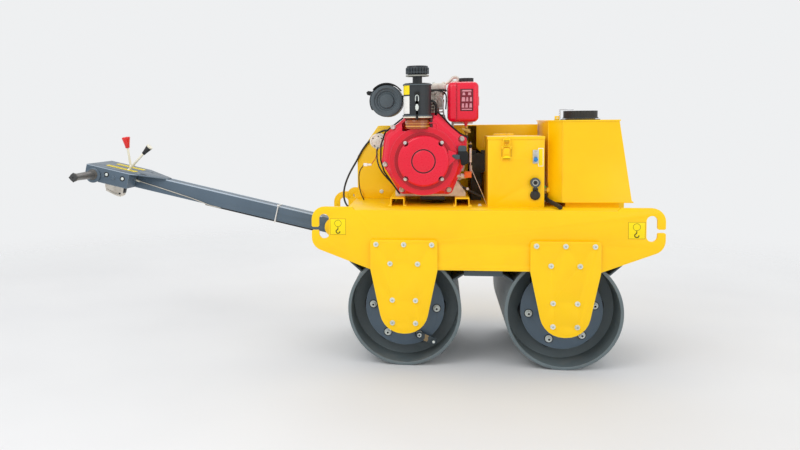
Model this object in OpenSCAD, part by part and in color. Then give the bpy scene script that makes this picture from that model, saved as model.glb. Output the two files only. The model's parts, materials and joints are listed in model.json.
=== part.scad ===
/* [Frame] */
// Distance between the outer faces of the two side plates
frame_w = 640; // [620:1:700]
// Thickness of a side plate
plate_t = 12; // [8:0.5:14]
// Height of the deck's top face above the ground
deck_z = 592; // [580:1:640]
// Thickness of the deck plate
deck_t = 8; // [5:0.5:12]
// Height of the side plates' bottom edge above the ground
skirt_z = 369; // [362:1:385]
// Distance from a drum's axle to the nearer end of the deck
deck_over = 220.5; // [208:0.5:238]
// Distance from an end of the deck to the end of its hooks
hook_over = 126; // [118:1:178]
// Width of a lifting slot in the side plates
slot_w = 38; // [30:1:42]
// Height of a lifting slot in the side plates
slot_h = 93; // [80:1:100]

/* [Drums] */
// Outer diameter of a drum
drum_d = 426; // [400:1:440]
// Length of a drum
drum_w = 600; // [580:1:606]
// Wall of a drum's shell
drum_t = 12; // [8:0.5:16]
// Distance between the two drum axles
wheelbase = 583; // [560:1:610]
// Distance of a drum's inner web from the middle of the machine
web_y = 183; // [170:1:195]
// Distance of a buffer disc's outer face from the middle of the machine
disc_y = 243; // [235:1:255]
// Radius of a buffer disc
disc_r = 150; // [146:1:160]
// Radius of the circle of buffers
buffer_pcr = 121; // [110:1:124]
// Radius of a rubber buffer
buffer_r = 35; // [28:1:38]
// Width of a drum bracket
bracket_w = 248; // [240:1:260]
// Thickness of a drum bracket
bracket_t = 12; // [8:0.5:16]

/* [Engine] */
// Place of the crankshaft's axis along the machine
crank_x = -220; // [-225:1:-215]
// Height of the crankshaft's axis above the engine rails
crank_h = 144; // [140:1:150]
// Size of the fan cowling, from the crankshaft out to its widest corner
cowl_r = 187; // [183:1:190]
// Radius of the recoil starter's housing
recoil_r = 98; // [90:1:104]
// Radius of the air cleaner's can
can_r = 53; // [48:0.5:54]
// Height of the air cleaner's can
can_h = 128; // [110:1:135]
// Radius of the muffler
muffler_r = 64; // [55:1:66]
// Width of the fuel tank along the machine
fuel_w = 120; // [105:1:125]
// Height of the fuel tank
fuel_h = 155; // [140:1:165]
// Radius of the engine's belt pulley
crank_pulley_r = 62; // [54:1:66]
// Radius of the pump's belt pulley
pump_pulley_r = 48; // [44:1:56]

/* [Box and water tank] */
// Place of the battery box's left wall along the machine
box_x = 23; // [20:1:28]
// Length of the battery box along the machine
box_w = 209; // [200:1:214]
// Height of the battery box with its lid
box_h = 268; // [250:1:275]
// Wall of the battery box
box_t = 3; // [2:0.5:4]
// Place of the water tank's left wall along the machine
tank_x = 252; // [250:1:256]
// Length of the water tank at its foot
tank_w = 298; // [290:1:306]
// Height of the water tank above its feet
tank_h = 310; // [290:1:320]
// Wall of the water tank
tank_t = 4; // [3:0.5:6]
// Radius of the water tank's filler cap
cap_r = 64; // [58:1:68]

/* [Drawbar] */
// Tilt of the drawbar above the horizontal, in degrees
bar_tilt = 12.85; // [10:0.05:16]
// Distance from the drawbar's pivot to the control head's rear end
bar_reach = 1066; // [1040:1:1200]
// Width and height of the drawbar's box section
bar_s = 62; // [56:1:66]
// Wall of the drawbar's box section
bar_t = 5; // [3:0.5:6]
// Width of the control head
head_w = 250; // [240:1:280]
// Overall length of the handlebar across the machine
grip_span = 600; // [560:1:640]
// Radius of a handlebar grip
grip_r = 17; // [15:0.5:19]

/* [Hidden] */
$fn = 48;

over = 1;            // how far a cut runs past the face it opens
run_gap = 0.06;      // radial clearance of a running fit
seat_gap = 0.3;      // gap between pieces that move past each other
fit_gap = 0.3;       // radial clearance of a bolt in its hole

// Colours
yellow = [1, 0.81, 0.02];
slate = [0.36, 0.44, 0.5];
iron = [0.3, 0.36, 0.38];
red = [0.85, 0.1, 0.2];
black = [0.12, 0.12, 0.13];
silver = [0.75, 0.75, 0.72];

// Frame
plate_y = frame_w / 2;
inner_y = plate_y - plate_t;
axle_x = wheelbase / 2;
axle_z = drum_d / 2;
deck_reach = axle_x + deck_over;
frame_reach = deck_reach + hook_over;
skirt_flat = deck_reach - 94;
raised_z = deck_z + plate_t;
raised_x = deck_reach - 26;
step_run = plate_t;
toe_z = skirt_z + 83;
toe_r = 50;
hook_r = 48;
step_r = 5;
skirt_r = 8;
slot_r = slot_w / 2;
finger_w = 28;
slot_x = frame_reach - finger_w - slot_r;
slot_low_z = toe_z + 31;
mouth_h = 12;
mouth_z = slot_low_z + 32;
mouth_r = 6;
beam_t = 10;
beam_h = 110;
rail_h = 32;
rail_w = 54;
rail_t = 4;
rail_foot = 8;
rail_left = 129;
rail_right = 121;
rail_xs = [crank_x - rail_left, crank_x + rail_right];
rail_near_y = -180;
rail_far_y = 110;
arc_steps = 6;

// Drum brackets and the bolts through them
bracket_h = 113;
bracket_r = 12;
bracket_drop = 83;
foot_half = 74;
foot_r = 86;
bolt_r = 6;
bolt_head_r = 12;
bolt_head_h = 8;
washer_r = 13.5;
washer_t = 2;
tip = 3;
row_high = 96;
row_mid = 24;
row_high_x = 103;
row_mid_x = 51;
hub_bolt = 43;

// Drums, hubs and exciters
web_t = 8;
disc_t = 10;
tube_r = 45;
tube_t = 10;
spigot_r = 40;
boss_r = 52;
flange_r = 78;
spigot_in = 15;
stud_tip = 9;
stud_in = 20;
nut_r = 11.5;
nut_h = 9;
rear_turn = -2.8;
front_turn = 8;
exciter_r = 14;
weight_r = 38;
weight_in = 60;
weight_out = 120;
bearing_in = 145;
tab_w = 22;
tab_t = 6;
tab_run = 54;
tab_drop = -23;

// Scrapers
scraper_in = 4.5;
scraper_x = deck_reach - scraper_in;
scraper_z = skirt_z + 33;
scraper_h = 30;
scraper_t = 6;
scraper_arm = 16;
blade_gap = 1;
skid_half = 70;
skid_t = 10;
skid_gap = 22;

// Belt hood
hood_left = -deck_reach + 3;
hood_right = tank_x - 6;
hood_near_y = 125;
hood_far_y = inner_y - 8;
hood_shoulder = 181;
hood_h = 311;
hood_slope = 90;
hood_t = 3;
hood_gap_left = -40;
hood_gap_right = -5;
hood_gap_step = 31;
hood_gap_z = 184;
lug_r = 34;
lug_rise = 14;
lug_out = 10;
lug_t = 12;
eye_r = 9;
shaft_hole_r = 80;

// Belt drive
pump_x = -1;
pump_drop = 23;
pulley_y = 200;
pulley_half = 18;
groove_half = 11;
groove_floor = 7;
groove_h = 14;
belt_half = 6.6;
belt_h = 10;
crank_r = 17;
pump_shaft_r = 12;
pump_r = 40;
pump_near_y = 30;
pump_far_y = 118;
pump_foot = 28;
port_r = 10;
port_h = 14;

// Engine, measured from the crankshaft's axis
crank_z = deck_z + rail_h + crank_h;
case_near_y = -108;
case_far_y = 92;
case_left = 113;
case_right = 163;
case_foot = 16;
case_top = 117;
case_half = 110;
case_step = 24;
cover_r = 74;
cover_t = 14;
cowl_back_y = case_near_y;
cowl_front_y = -185;
cowl_wall = 4;
cowl_rim = 8;
cowl_body = 0.94;
cowl_slope = 0.08;
cowl_share = [
    [-0.40, 0.89, 0.10], [-0.82, 0.56, 0.14], [-0.90, -0.05, 0.20], [-0.60, -0.55, 0.15],
    [-0.50, -0.72, 0.12], [0.57, -0.72, 0.12], [0.82, -0.13, 0.30], [0.89, 0.14, 0.15],
    [0.89, 0.47, 0.07], [0.76, 0.54, 0.07], [0.36, 0.93, 0.07], [0.28, 1.00, 0.07]
];
cowl_bolt_share = [[-0.65, 0.70], [0.79, 0.44], [-0.82, -0.09], [-0.47, -0.63], [0.52, -0.63]];
scallop_r = 17;
dish_r = 133;
dish_h = 5;
vents = 20;
vent_in = 114;
vent_out = 126;
vent_w = 5;
intake_r = 90;
flywheel_r = 84;
flywheel_near_y = -168;
flywheel_far_y = -126;
blades = 16;
blade_t = 4;
blade_in = 56;
recoil_flange_t = 5;
recoil_depth = 30;
recoil_edge = 11;
recoil_lip = 14;
recoil_bolt = 70;
badge_r = 44;
badge_t = 2;
badge_gap = 3;
handle_half = 42;
handle_w = 48;
handle_t = 18;
handle_rise = 44;
handle_stem = 24;
cyl_x = 10;
cyl_y = 22;
cyl_half_x = 68;
cyl_half_y = 62;
barrel_r = 50;
fins = 9;
fin_t = 4;
fin_pitch = 12.5;
fin_r = 14;
head_h = 40;
cover_in = 14;
cover_h = 22;
muffler_x = -148;
muffler_z = 235;
muffler_near_y = -95;
muffler_far_y = 40;
muffler_ring = 6;
pipe_r = 15;
guard_t = 3;
guard_gap = 4;
can_x = -23.5;
can_y = -168;
can_z = 171;
can_rim = 4;
can_rim_h = 8;
duct_r = 18;
duct_z = 70;
stem_r = 18.5;
stem_h = 33;
rain_r = 43.5;
rain_h = 33;
clip_w = 10;
clip_h = 77;
clip_t = 6;
bowl_h = 38;
bowl_r = 48;
bowl_gap = 10;
fuel_x = 92;
fuel_z = 149;
fuel_near_y = -140;
fuel_far_y = 105;
fuel_r = 20;
fuel_t = 3;
seam_x = 31;
seam_t = 3;
seam_rise = 2;
fuel_neck_r = 25;
fuel_neck_h = 4;
fuel_cap_r = 29;
fuel_cap_h = 14;
fuel_cap_y = -40;
fuel_cap_in = 45;
starter_x = -188;
starter_z = 74;
starter_r = 30;
starter_near_y = -70;
starter_far_y = 70;
fit_x = 150;
fit_y = -70;

// Battery box and its fittings
box_near_y = -200;
box_far_y = -5;
lid_t = 6;
lid_over = 2;
lid_lip = 6;
hinge_r = 7;
pin_r = 3;
hinge_left = 33;
hinge_len = 78;
hinge_gap = 0.4;
latch_x = 50;
latch_w = 36;
latch_low = 179;
latch_h = 76;
latch_t = 5;
latch_pin_r = 2.5;
latch_base = 4;
battery_in = 12;
battery_h = 175;
post_r = 8;
post_h = 12;
plate_x = 166;
switch_w = 20;
switch_low = 166;
switch_h = 51;
switch_t = 3;
button_r = 6.5;
button_cap_r = 8;
button_rise = 15;
button_out = 6;
button_travel = 2.5;
key_x = 175;
key_rise = 94;
key_r = 18.5;
key_out = 12;
barrel_key_r = 10;
barrel_out = 0.5;
key_slot = 3;
dust_drop = 48;
dust_t = 7;
dust_pin_r = 2.5;
ear_w = 12;

// Water tank and its fittings
tank_near_y = -200;
tank_far_y = 180;
foot_h = 18;
tank_chamfer = 46;
tank_slope = 49;
lip = 4;
lip_t = 5;
neck_r = 52;
neck_h = 5;
neck_x = 133;
neck_y = -60;
cap_flange_h = 8;
cap_h = 30;
cap_ribs = 36;
cap_rib = 2;
lever_len = 62;
lever_w = 14;
lever_t = 4;
lever_ear = 8;
foot_in = 14;
foot_w = 30;
valve_y = -163;
valve_z = 42;
valve_r = 11;
valve_len = 12;
valve_drop = 11.5;
hose_r = 8;
cock_r = 4;
cock_len = 10;
cock_t = 3;

// Drawbar and control head, along the bar from its pivot
pivot_x = -590;
pivot_z = deck_z - 105;
pivot_r = 12;
eye_out_r = 24;
bar_start = 16;
ear_t = 10;
ear_gap = 2;
ear_r = 40;
head_len = 190;
nose_len = 320;
head_t = 3;
head_back = 30;
head_low = 64;
grip_u = 36;
grip_w = -4;
flange_out_r = 24;
flange_out_t = 6;
shaft_u = 127;
shaft_r = 7;
shaft_w = 4;
lever_r = 4;
lever_hub_r = 13;
lever_hub_w = 16;
red_y = 70;
red_lean = 20.5;
red_len = 168;
black_y = -25;
black_lean = -31.5;
black_len = 175;
knob_h = 42;
knob_top_r = 13;
knob_low_r = 7;
slot_half_w = 7;
red_slot = [-24, 22];
black_slot = [-32, 28];
valve_u = 50;
valve_long = 96;
valve_wide = 60;
valve_deep = 46;

// Cable routes, chosen by hand
cable_r = 4;
bar_cable_r = 2;
head_route = [[0.6, -37, 0.5], [25, -34.6, -2], [60, -33.6, -4.5]];
bar_route_share = [
    -0.7, -0.64, -0.58, -0.535, -0.505, -0.475, -0.43, -0.37, -0.3, -0.23, -0.16, -0.1, -0.056
];
bar_route_side = [
    [-33.6, -10.3], [-33.6, -15.7], [-33.6, -21.5], [-33.7, -28], [-33.4, -33], [-28, -33.8], [-14, -33.7],
    [0, -33.5], [0, -33.5], [0, -33.5], [0, -33.5], [0, -33.5], [0, -33.5]
];
bar_route = concat(
    [for (p = head_route) [head_len - bar_reach + p[0], p[1], p[2]]],
    [for (k = [0 : len(bar_route_share) - 1])
        [bar_route_share[k] * bar_reach, bar_route_side[k][0], bar_route_side[k][1]]]
);
machine_route = [
    [-513.2, 60, 545], [-534, 62, 552], [-556, 74, 575], [-566, 92, 610], [-560, 106, 655],
    [-540, 117, 705], [-514, 120, 750], [-490, 120.5, 795], [-460, 120.5, 835], [-420, 114, 870],
    [-384, 100, 884], [-360, 90, 872], [-345, 86, 862], [-331, 85, 860]
];
cable_sides = 8;
cable_steps = 3;
hose_route = [
    [240.5, -152, 640.1], [240.5, -152, 635], [240.8, -152.8, 630], [241.7, -154.8, 625.4],
    [243.2, -158, 621.6], [245.2, -162.4, 618.8], [248, -168.6, 616.6], [253, -179.6, 613.8],
    [262, -200, 609.6], [271, -228, 605], [277, -256, 602], [279, -282, 600.5]
];

// The middle of the whole length stands at the origin
back_x = pivot_x - bar_reach * cos(bar_tilt);
mid_x = (back_x + frame_reach) / 2;

// Shapes that the pieces share
function unit(v) = v / norm(v);
function flat(v) = [v[0], v[1]];
function corner(a, b, c, r, n) =
    let (
        u = unit(a - b),
        v = unit(c - b),
        half = acos(u * v) / 2,
        centre = b + unit(u + v) * r / sin(half),
        from = b + u * r / tan(half) - centre,
        to = b + v * r / tan(half) - centre,
        start = atan2(from[1], from[0]),
        turn = atan2(from[0] * to[1] - from[1] * to[0], from * to)
    )
    [for (k = [0 : n]) centre + r * [cos(start + turn * k / n), sin(start + turn * k / n)]];
function rounded(points) = [
    for (i = [0 : len(points) - 1])
        let (
            n = len(points),
            a = flat(points[(i + n - 1) % n]),
            b = flat(points[i]),
            c = flat(points[(i + 1) % n])
        )
        each (points[i][2] > 0 ? corner(a, b, c, points[i][2], arc_steps) : [b])
];
function box_outline(low, high, r) = [
    [low[0], low[1], r], [high[0], low[1], r], [high[0], high[1], r], [low[0], high[1], r]
];
function between(p, i, t) =
    let (
        last = len(p) - 1,
        a = p[max(i - 1, 0)],
        b = p[i],
        c = p[min(i + 1, last)],
        d = p[min(i + 2, last)]
    )
    (2 * b + (c - a) * t + (2 * a - 5 * b + 4 * c - d) * t ^ 2 + (3 * b - a - 3 * c + d) * t ^ 3) / 2;
function smooth(p, n) = [
    for (i = [0 : len(p) - 2])
        for (k = [0 : n - 1]) between(p, i, k / n),
    p[len(p) - 1]
];

module block(low, high) translate(low) cube(high - low);
module along_y(y0, y1) translate([0, y1, 0]) rotate([90, 0, 0]) linear_extrude(y1 - y0) children();
module rod_x(x0, x1, y, z, r) translate([x0, y, z]) rotate([0, 90, 0]) cylinder(h = x1 - x0, r = r);
module rod_y(x, z, y0, y1, r) translate([x, y1, z]) rotate([90, 0, 0]) cylinder(h = y1 - y0, r = r);
module rod_z(x, y, z0, z1, r) translate([x, y, z0]) cylinder(h = z1 - z0, r = r);
module turned_y(x, z) translate([x, 0, z]) rotate([-90, 0, 0]) rotate_extrude() children();
module both_sides() {
    children();
    mirror([0, 1, 0]) children();
}
module sweep(points, r, sides) {
    n = len(points);
    rings = [
        for (i = [0 : n - 1])
            let (
                along = unit(points[min(i + 1, n - 1)] - points[max(i - 1, 0)]),
                side = unit(cross(along, [0, 1, 0.2])),
                rise = cross(side, along)
            )
            for (k = [0 : sides - 1])
                points[i] + r * (cos(360 * k / sides) * side + sin(360 * k / sides) * rise)
    ];
    walls = [
        for (i = [0 : n - 2])
            for (k = [0 : sides - 1])
                let (a = i * sides + k, b = i * sides + (k + 1) % sides)
                each [[a, b, b + sides], [a, b + sides, a + sides]]
    ];
    ends = [[for (k = [sides - 1 : -1 : 0]) k], [for (k = [0 : sides - 1]) (n - 1) * sides + k]];
    polyhedron(rings, concat(walls, ends));
}
// A hexagon bolt whose head rests on z = 0 and whose shank runs up
module bolt(shank) {
    translate([0, 0, -washer_t]) cylinder(h = washer_t, r = washer_r);
    translate([0, 0, -washer_t - bolt_head_h]) cylinder(h = bolt_head_h, r = bolt_head_r, $fn = 6);
    cylinder(h = shank, r = bolt_r);
}
module placed() translate([-mid_x, 0, 0]) children();

// Side plates with their hook slots
function plate_end(s) = [
    [s * skirt_flat, skirt_z, skirt_r], [s * frame_reach, toe_z, toe_r],
    [s * frame_reach, raised_z, hook_r], [s * raised_x, raised_z, step_r],
    [s * (raised_x - step_run), deck_z, step_r]
];
function plate_outline() = concat(plate_end(1), [for (i = [4 : -1 : 0]) plate_end(-1)[i]]);
function upper_holes() = [
    for (s = [-1, 1])
        each [
            [s * axle_x - row_high_x, skirt_z + row_high], [s * axle_x, skirt_z + row_high],
            [s * axle_x + row_high_x, skirt_z + row_high], [s * axle_x - row_mid_x, skirt_z + row_mid],
            [s * axle_x + row_mid_x, skirt_z + row_mid]
        ]
];
function hub_holes() = [
    for (s = [-1, 1])
        for (i = [-1, 1])
            for (j = [-1, 1]) [s * axle_x + i * hub_bolt, axle_z + j * hub_bolt]
];
module mouth_corner(flip_x, flip_z)
    mirror([flip_x, 0]) mirror([0, flip_z]) difference() {
        square(mouth_r);
        translate([mouth_r, mouth_r]) circle(mouth_r);
    }
module hook_slot() {
    for (z = [slot_low_z + slot_r, slot_low_z + slot_h - slot_r]) translate([slot_x, z]) circle(slot_r);
    translate([slot_x - slot_r, slot_low_z + slot_r]) square([slot_w, slot_h - slot_w]);
    translate([slot_x, mouth_z]) square([slot_r + finger_w + over, mouth_h]);
    for (x = [0, 1])
        for (z = [0, 1])
            translate([x == 0 ? slot_x + slot_r : frame_reach, z == 0 ? mouth_z : mouth_z + mouth_h])
                mouth_corner(x, 1 - z);
}
module side_plate_shape()
    difference() {
        polygon(rounded(plate_outline()));
        hook_slot();
        mirror([1, 0]) hook_slot();
        for (p = upper_holes()) translate(p) circle(bolt_r + fit_gap);
    }
module side_plate_near() color(yellow) along_y(-plate_y, -inner_y) side_plate_shape();
module side_plate_far() color(yellow) along_y(inner_y, plate_y) side_plate_shape();

module rail_shape()
    difference() {
        union() {
            square([rail_w, rail_h]);
            translate([-rail_foot, 0]) square([rail_w + 2 * rail_foot, rail_t]);
        }
        translate([rail_t, -over]) square([rail_w - 2 * rail_t, rail_h - rail_t + over]);
    }
module deck() {
    color(yellow) {
        block([-deck_reach, -inner_y, deck_z - deck_t], [deck_reach, inner_y, deck_z]);
        for (x = [-deck_reach, deck_reach - beam_t])
            block([x, -inner_y, deck_z - deck_t - beam_h], [x + beam_t, inner_y, deck_z - deck_t]);
        for (x = rail_xs) translate([x, 0, deck_z]) along_y(rail_near_y, rail_far_y) rail_shape();
    }
}

module bracket_shape(x)
    difference() {
        polygon(rounded([
            [x + bracket_w / 2, skirt_z + bracket_h, bracket_r],
            [x - bracket_w / 2, skirt_z + bracket_h, bracket_r],
            [x - bracket_w / 2, skirt_z, 0], [x - foot_half, axle_z - bracket_drop, foot_r],
            [x + foot_half, axle_z - bracket_drop, foot_r], [x + bracket_w / 2, skirt_z, 0]
        ]));
        for (p = concat(upper_holes(), hub_holes())) translate(p) circle(bolt_r + fit_gap);
    }
module drum_brackets()
    color(yellow) both_sides()
        for (s = [-1, 1]) along_y(-plate_y - bracket_t, -plate_y) bracket_shape(s * axle_x);

module frame_bolts()
    color(silver) both_sides()
        for (p = concat(upper_holes(), hub_holes()))
            translate([p[0], -plate_y - bracket_t, p[1]]) rotate([-90, 0, 0]) bolt(bracket_t + plate_t + tip);

// Hubs that carry the drums: bearing hubs on the near side, drive motors on the far side
module hub(x)
    difference() {
        union() {
            rod_y(x, axle_z, -plate_y, -inner_y, flange_r);
            rod_y(x, axle_z, -inner_y, -disc_y - seat_gap, boss_r);
            rod_y(x, axle_z, -disc_y - seat_gap, -disc_y + spigot_in, spigot_r);
        }
        for (p = hub_holes()) rod_y(p[0], p[1], -plate_y - over, -inner_y + over, bolt_r + fit_gap);
    }
module motor_ports(x)
    for (i = [-1, 1])
        rod_z(x + i * (port_r + port_h), -inner_y + boss_r / 2, axle_z, axle_z + boss_r + port_h, port_r);
module drum_hubs()
    color(iron) for (s = [-1, 1]) {
        hub(s * axle_x);
        mirror([0, 1, 0]) {
            hub(s * axle_x);
            motor_ports(s * axle_x);
        }
    }

module blade(ax, x, z)
    translate([ax, 0, axle_z]) rotate([0, -atan2(z - axle_z, x - ax), 0])
        block([axle_z + blade_gap, -drum_w / 2 + tip, -scraper_t / 2],
            [norm([x - ax, z - axle_z]), drum_w / 2 - tip, scraper_t / 2]);
module scrapers()
    color(black) {
        for (s = [-1, 1]) {
            x = s > 0 ? scraper_x : -scraper_x - scraper_t;
            block([x, -drum_w / 2, scraper_z], [x + scraper_t, drum_w / 2, scraper_z + scraper_h]);
            both_sides()
                block([x, -drum_w / 2, scraper_z],
                    [x + scraper_t, -drum_w / 2 + scraper_arm, deck_z - deck_t - beam_h]);
            blade(s * axle_x, s * (scraper_x + scraper_t / 2), scraper_z + scraper_t);
            blade(s * axle_x, s * skid_half, skirt_z - skid_gap + skid_t / 2);
        }
        block([-skid_half, -inner_y, skirt_z - skid_gap], [skid_half, inner_y, skirt_z - skid_gap + skid_t]);
        both_sides()
            block([-skid_half, -inner_y, skirt_z - skid_gap + skid_t],
                [skid_half, -inner_y + scraper_t, skirt_z + scraper_h]);
    }

// One drum: shell, webs and the tube round the exciter
module drum(x)
    color(iron) turned_y(x, axle_z) {
        translate([axle_z - drum_t, -drum_w / 2]) square([drum_t, drum_w]);
        for (y = [-web_y, web_y - web_t]) translate([tube_r, y]) square([axle_z - drum_t - tube_r, web_t]);
        translate([tube_r, -web_y]) square([tube_t, 2 * web_y]);
    }
function buffer_spots(x, turn) = [
    for (k = [0 : 5]) [x + buffer_pcr * cos(turn + 60 * k), axle_z + buffer_pcr * sin(turn + 60 * k)]
];
module discs(x, turn)
    color(slate) both_sides() difference() {
        rod_y(x, axle_z, -disc_y, -disc_y + disc_t, disc_r);
        rod_y(x, axle_z, -disc_y - over, -disc_y + disc_t + over, spigot_r + run_gap);
        for (p = buffer_spots(x, turn))
            rod_y(p[0], p[1], -disc_y - over, -disc_y + disc_t + over, bolt_r + fit_gap);
    }
module buffers(x, turn)
    color(black) both_sides() for (p = buffer_spots(x, turn)) difference() {
        rod_y(p[0], p[1], -disc_y + disc_t, -web_y, buffer_r);
        rod_y(p[0], p[1], -disc_y - over, -disc_y + disc_t + stud_in + over, bolt_r + fit_gap);
    }
module disc_bolts(x, turn)
    color(silver) both_sides() for (p = buffer_spots(x, turn)) {
        rod_y(p[0], p[1], -disc_y - nut_h - stud_tip, -disc_y + disc_t + stud_in, bolt_r);
        translate([p[0], -disc_y, p[1]]) rotate([90, 0, 0]) cylinder(h = nut_h, r = nut_r, $fn = 6);
    }
module lock_tab(p) {
    q = [p[0] + tab_run, p[1] + tab_drop];
    y = -disc_y - nut_h - tab_t;
    color(silver) difference() {
        union() {
            along_y(y, y + tab_t) hull() {
                translate(p) circle(tab_w / 2);
                translate(q) circle(tab_w / 2);
            }
            translate([q[0], y, q[1]]) rotate([90, 0, 0]) cylinder(h = nut_h, r = nut_r, $fn = 6);
        }
        rod_y(p[0], p[1], y - over, y + tab_t + over, bolt_r + run_gap);
    }
}
module exciter(x)
    color(silver) {
        rod_y(x, axle_z, -disc_y + disc_t + spigot_in, disc_y - disc_t - spigot_in, exciter_r);
        both_sides() intersection() {
            rod_y(x, axle_z, -weight_out, -weight_in, weight_r);
            block([x - weight_r, -weight_out, axle_z - weight_r], [x + weight_r, -weight_in, axle_z]);
        }
        both_sides() rod_y(x, axle_z, -web_y + tip, -bearing_in, tube_r - run_gap);
    }
module rear_drum() drum(-axle_x);
module rear_discs() discs(-axle_x, rear_turn);
module rear_buffers() buffers(-axle_x, rear_turn);
module rear_disc_bolts() {
    disc_bolts(-axle_x, rear_turn);
    lock_tab(buffer_spots(-axle_x, rear_turn)[5]);
}
module rear_exciter() exciter(-axle_x);
module front_drum() drum(axle_x);
module front_discs() discs(axle_x, front_turn);
module front_buffers() buffers(axle_x, front_turn);
module front_disc_bolts() disc_bolts(axle_x, front_turn);
module front_exciter() exciter(axle_x);

// Belt hood over the far side of the deck
function hood_outline(w) = [
    [hood_left + w, deck_z - (w > 0 ? over : 0), 0], [hood_right - w, deck_z - (w > 0 ? over : 0), 0],
    [hood_right - w, deck_z + hood_h - w, 0], [hood_left + hood_slope + w / 2, deck_z + hood_h - w, 0],
    [hood_left + w, deck_z + hood_shoulder - w / 2, 0]
];
module belt_hood()
    color(yellow) difference() {
        union() {
            along_y(hood_near_y, hood_far_y) polygon(rounded(hood_outline(0)));
            along_y(hood_near_y - lug_t, hood_near_y) difference() {
                translate([hood_left - lug_out, deck_z + lug_rise]) circle(lug_r);
                translate([hood_left - lug_out, deck_z + lug_rise]) circle(eye_r);
                translate([hood_left - lug_out - lug_r, deck_z - lug_r]) square([2 * lug_r, lug_r]);
            }
        }
        along_y(hood_near_y + hood_t, hood_far_y - hood_t) polygon(rounded(hood_outline(hood_t)));
        along_y(hood_near_y - over, hood_near_y + hood_t + over) polygon([
            [hood_gap_left, deck_z - over], [hood_gap_right + hood_gap_step, deck_z - over],
            [hood_gap_right + hood_gap_step, deck_z + hood_gap_z],
            [hood_gap_right, deck_z + hood_gap_z + hood_gap_step],
            [hood_gap_right, deck_z + hood_h - hood_t - over],
            [hood_gap_left, deck_z + hood_h - hood_t - over]
        ]);
        rod_y(crank_x, crank_z, hood_near_y - over, hood_near_y + hood_t + over, shaft_hole_r);
    }

// Belt drive from the crankshaft to the hydraulic pump
pump_z = crank_z - pump_drop;
module pulley(x, z, r, bore)
    turned_y(x, z) polygon([
        [bore, pulley_y - pulley_half], [r, pulley_y - pulley_half], [r, pulley_y - groove_half],
        [r - groove_h, pulley_y - groove_floor], [r - groove_h, pulley_y + groove_floor],
        [r, pulley_y + groove_half], [r, pulley_y + pulley_half], [bore, pulley_y + pulley_half]
    ]);
module loop_shape(grow)
    hull() {
        translate([crank_x, crank_z]) circle(crank_pulley_r - groove_h + grow);
        translate([pump_x, pump_z]) circle(pump_pulley_r - groove_h + grow);
    }
module drive_belt()
    color(black) along_y(pulley_y - belt_half, pulley_y + belt_half) difference() {
        loop_shape(seat_gap + belt_h);
        loop_shape(seat_gap);
    }
module crank_pulley() color(iron) pulley(crank_x, crank_z, crank_pulley_r, crank_r + run_gap);
module pump_pulley()
    color(iron) {
        pulley(pump_x, pump_z, pump_pulley_r, 0);
        rod_y(pump_x, pump_z, pump_near_y + pump_r, pulley_y, pump_shaft_r);
    }
module hydraulic_pump()
    color(iron) difference() {
        union() {
            rod_y(pump_x, pump_z, pump_near_y, pump_far_y, pump_r);
            block([pump_x - pump_foot, pump_near_y + pump_foot, deck_z],
                  [pump_x + pump_foot / 2, pump_far_y, pump_z]);
            for (i = [-1, 1])
                rod_z(pump_x + i * pump_r / 2, pump_near_y + port_r + port_h, pump_z,
                    pump_z + pump_r + port_h, port_r);
        }
        rod_y(pump_x, pump_z, pump_near_y + pump_r - over, pump_far_y + over, pump_shaft_r + run_gap);
    }

// Engine
module on_crank() translate([crank_x, 0, crank_z]) children();
module crankcase()
    color(silver) on_crank() difference() {
        union() {
            along_y(case_near_y, case_far_y) polygon(rounded([
                [-case_left, -crank_h, 0], [case_right, -crank_h, 0], [case_right, -crank_h + case_foot, 0],
                [case_half, -case_top / 2, case_step], [case_half, case_top - case_step, 0],
                [case_half - case_step, case_top, 0], [-case_half + case_step, case_top, 0],
                [-case_half, case_top - case_step, 0], [-case_half, -case_top / 2, 0],
                [-case_left, -crank_h + case_foot, 0]
            ]));
            rod_y(0, 0, case_far_y, case_far_y + cover_t, cover_r);
        }
        rod_y(0, 0, case_near_y - over, case_far_y + cover_t + over, crank_r + run_gap);
    }
module crankshaft()
    color(iron) on_crank() {
        rod_y(0, 0, flywheel_far_y, pulley_y + pulley_half, crank_r);
        rod_y(0, 0, flywheel_near_y + blade_in / 4, flywheel_far_y, flywheel_r);
        for (k = [1 : blades]) rotate([0, 360 * k / blades, 0])
            block([blade_in, flywheel_near_y, -blade_t / 2],
                [flywheel_r - blade_t, flywheel_near_y + blade_in / 4 + over, blade_t / 2]);
    }

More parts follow.
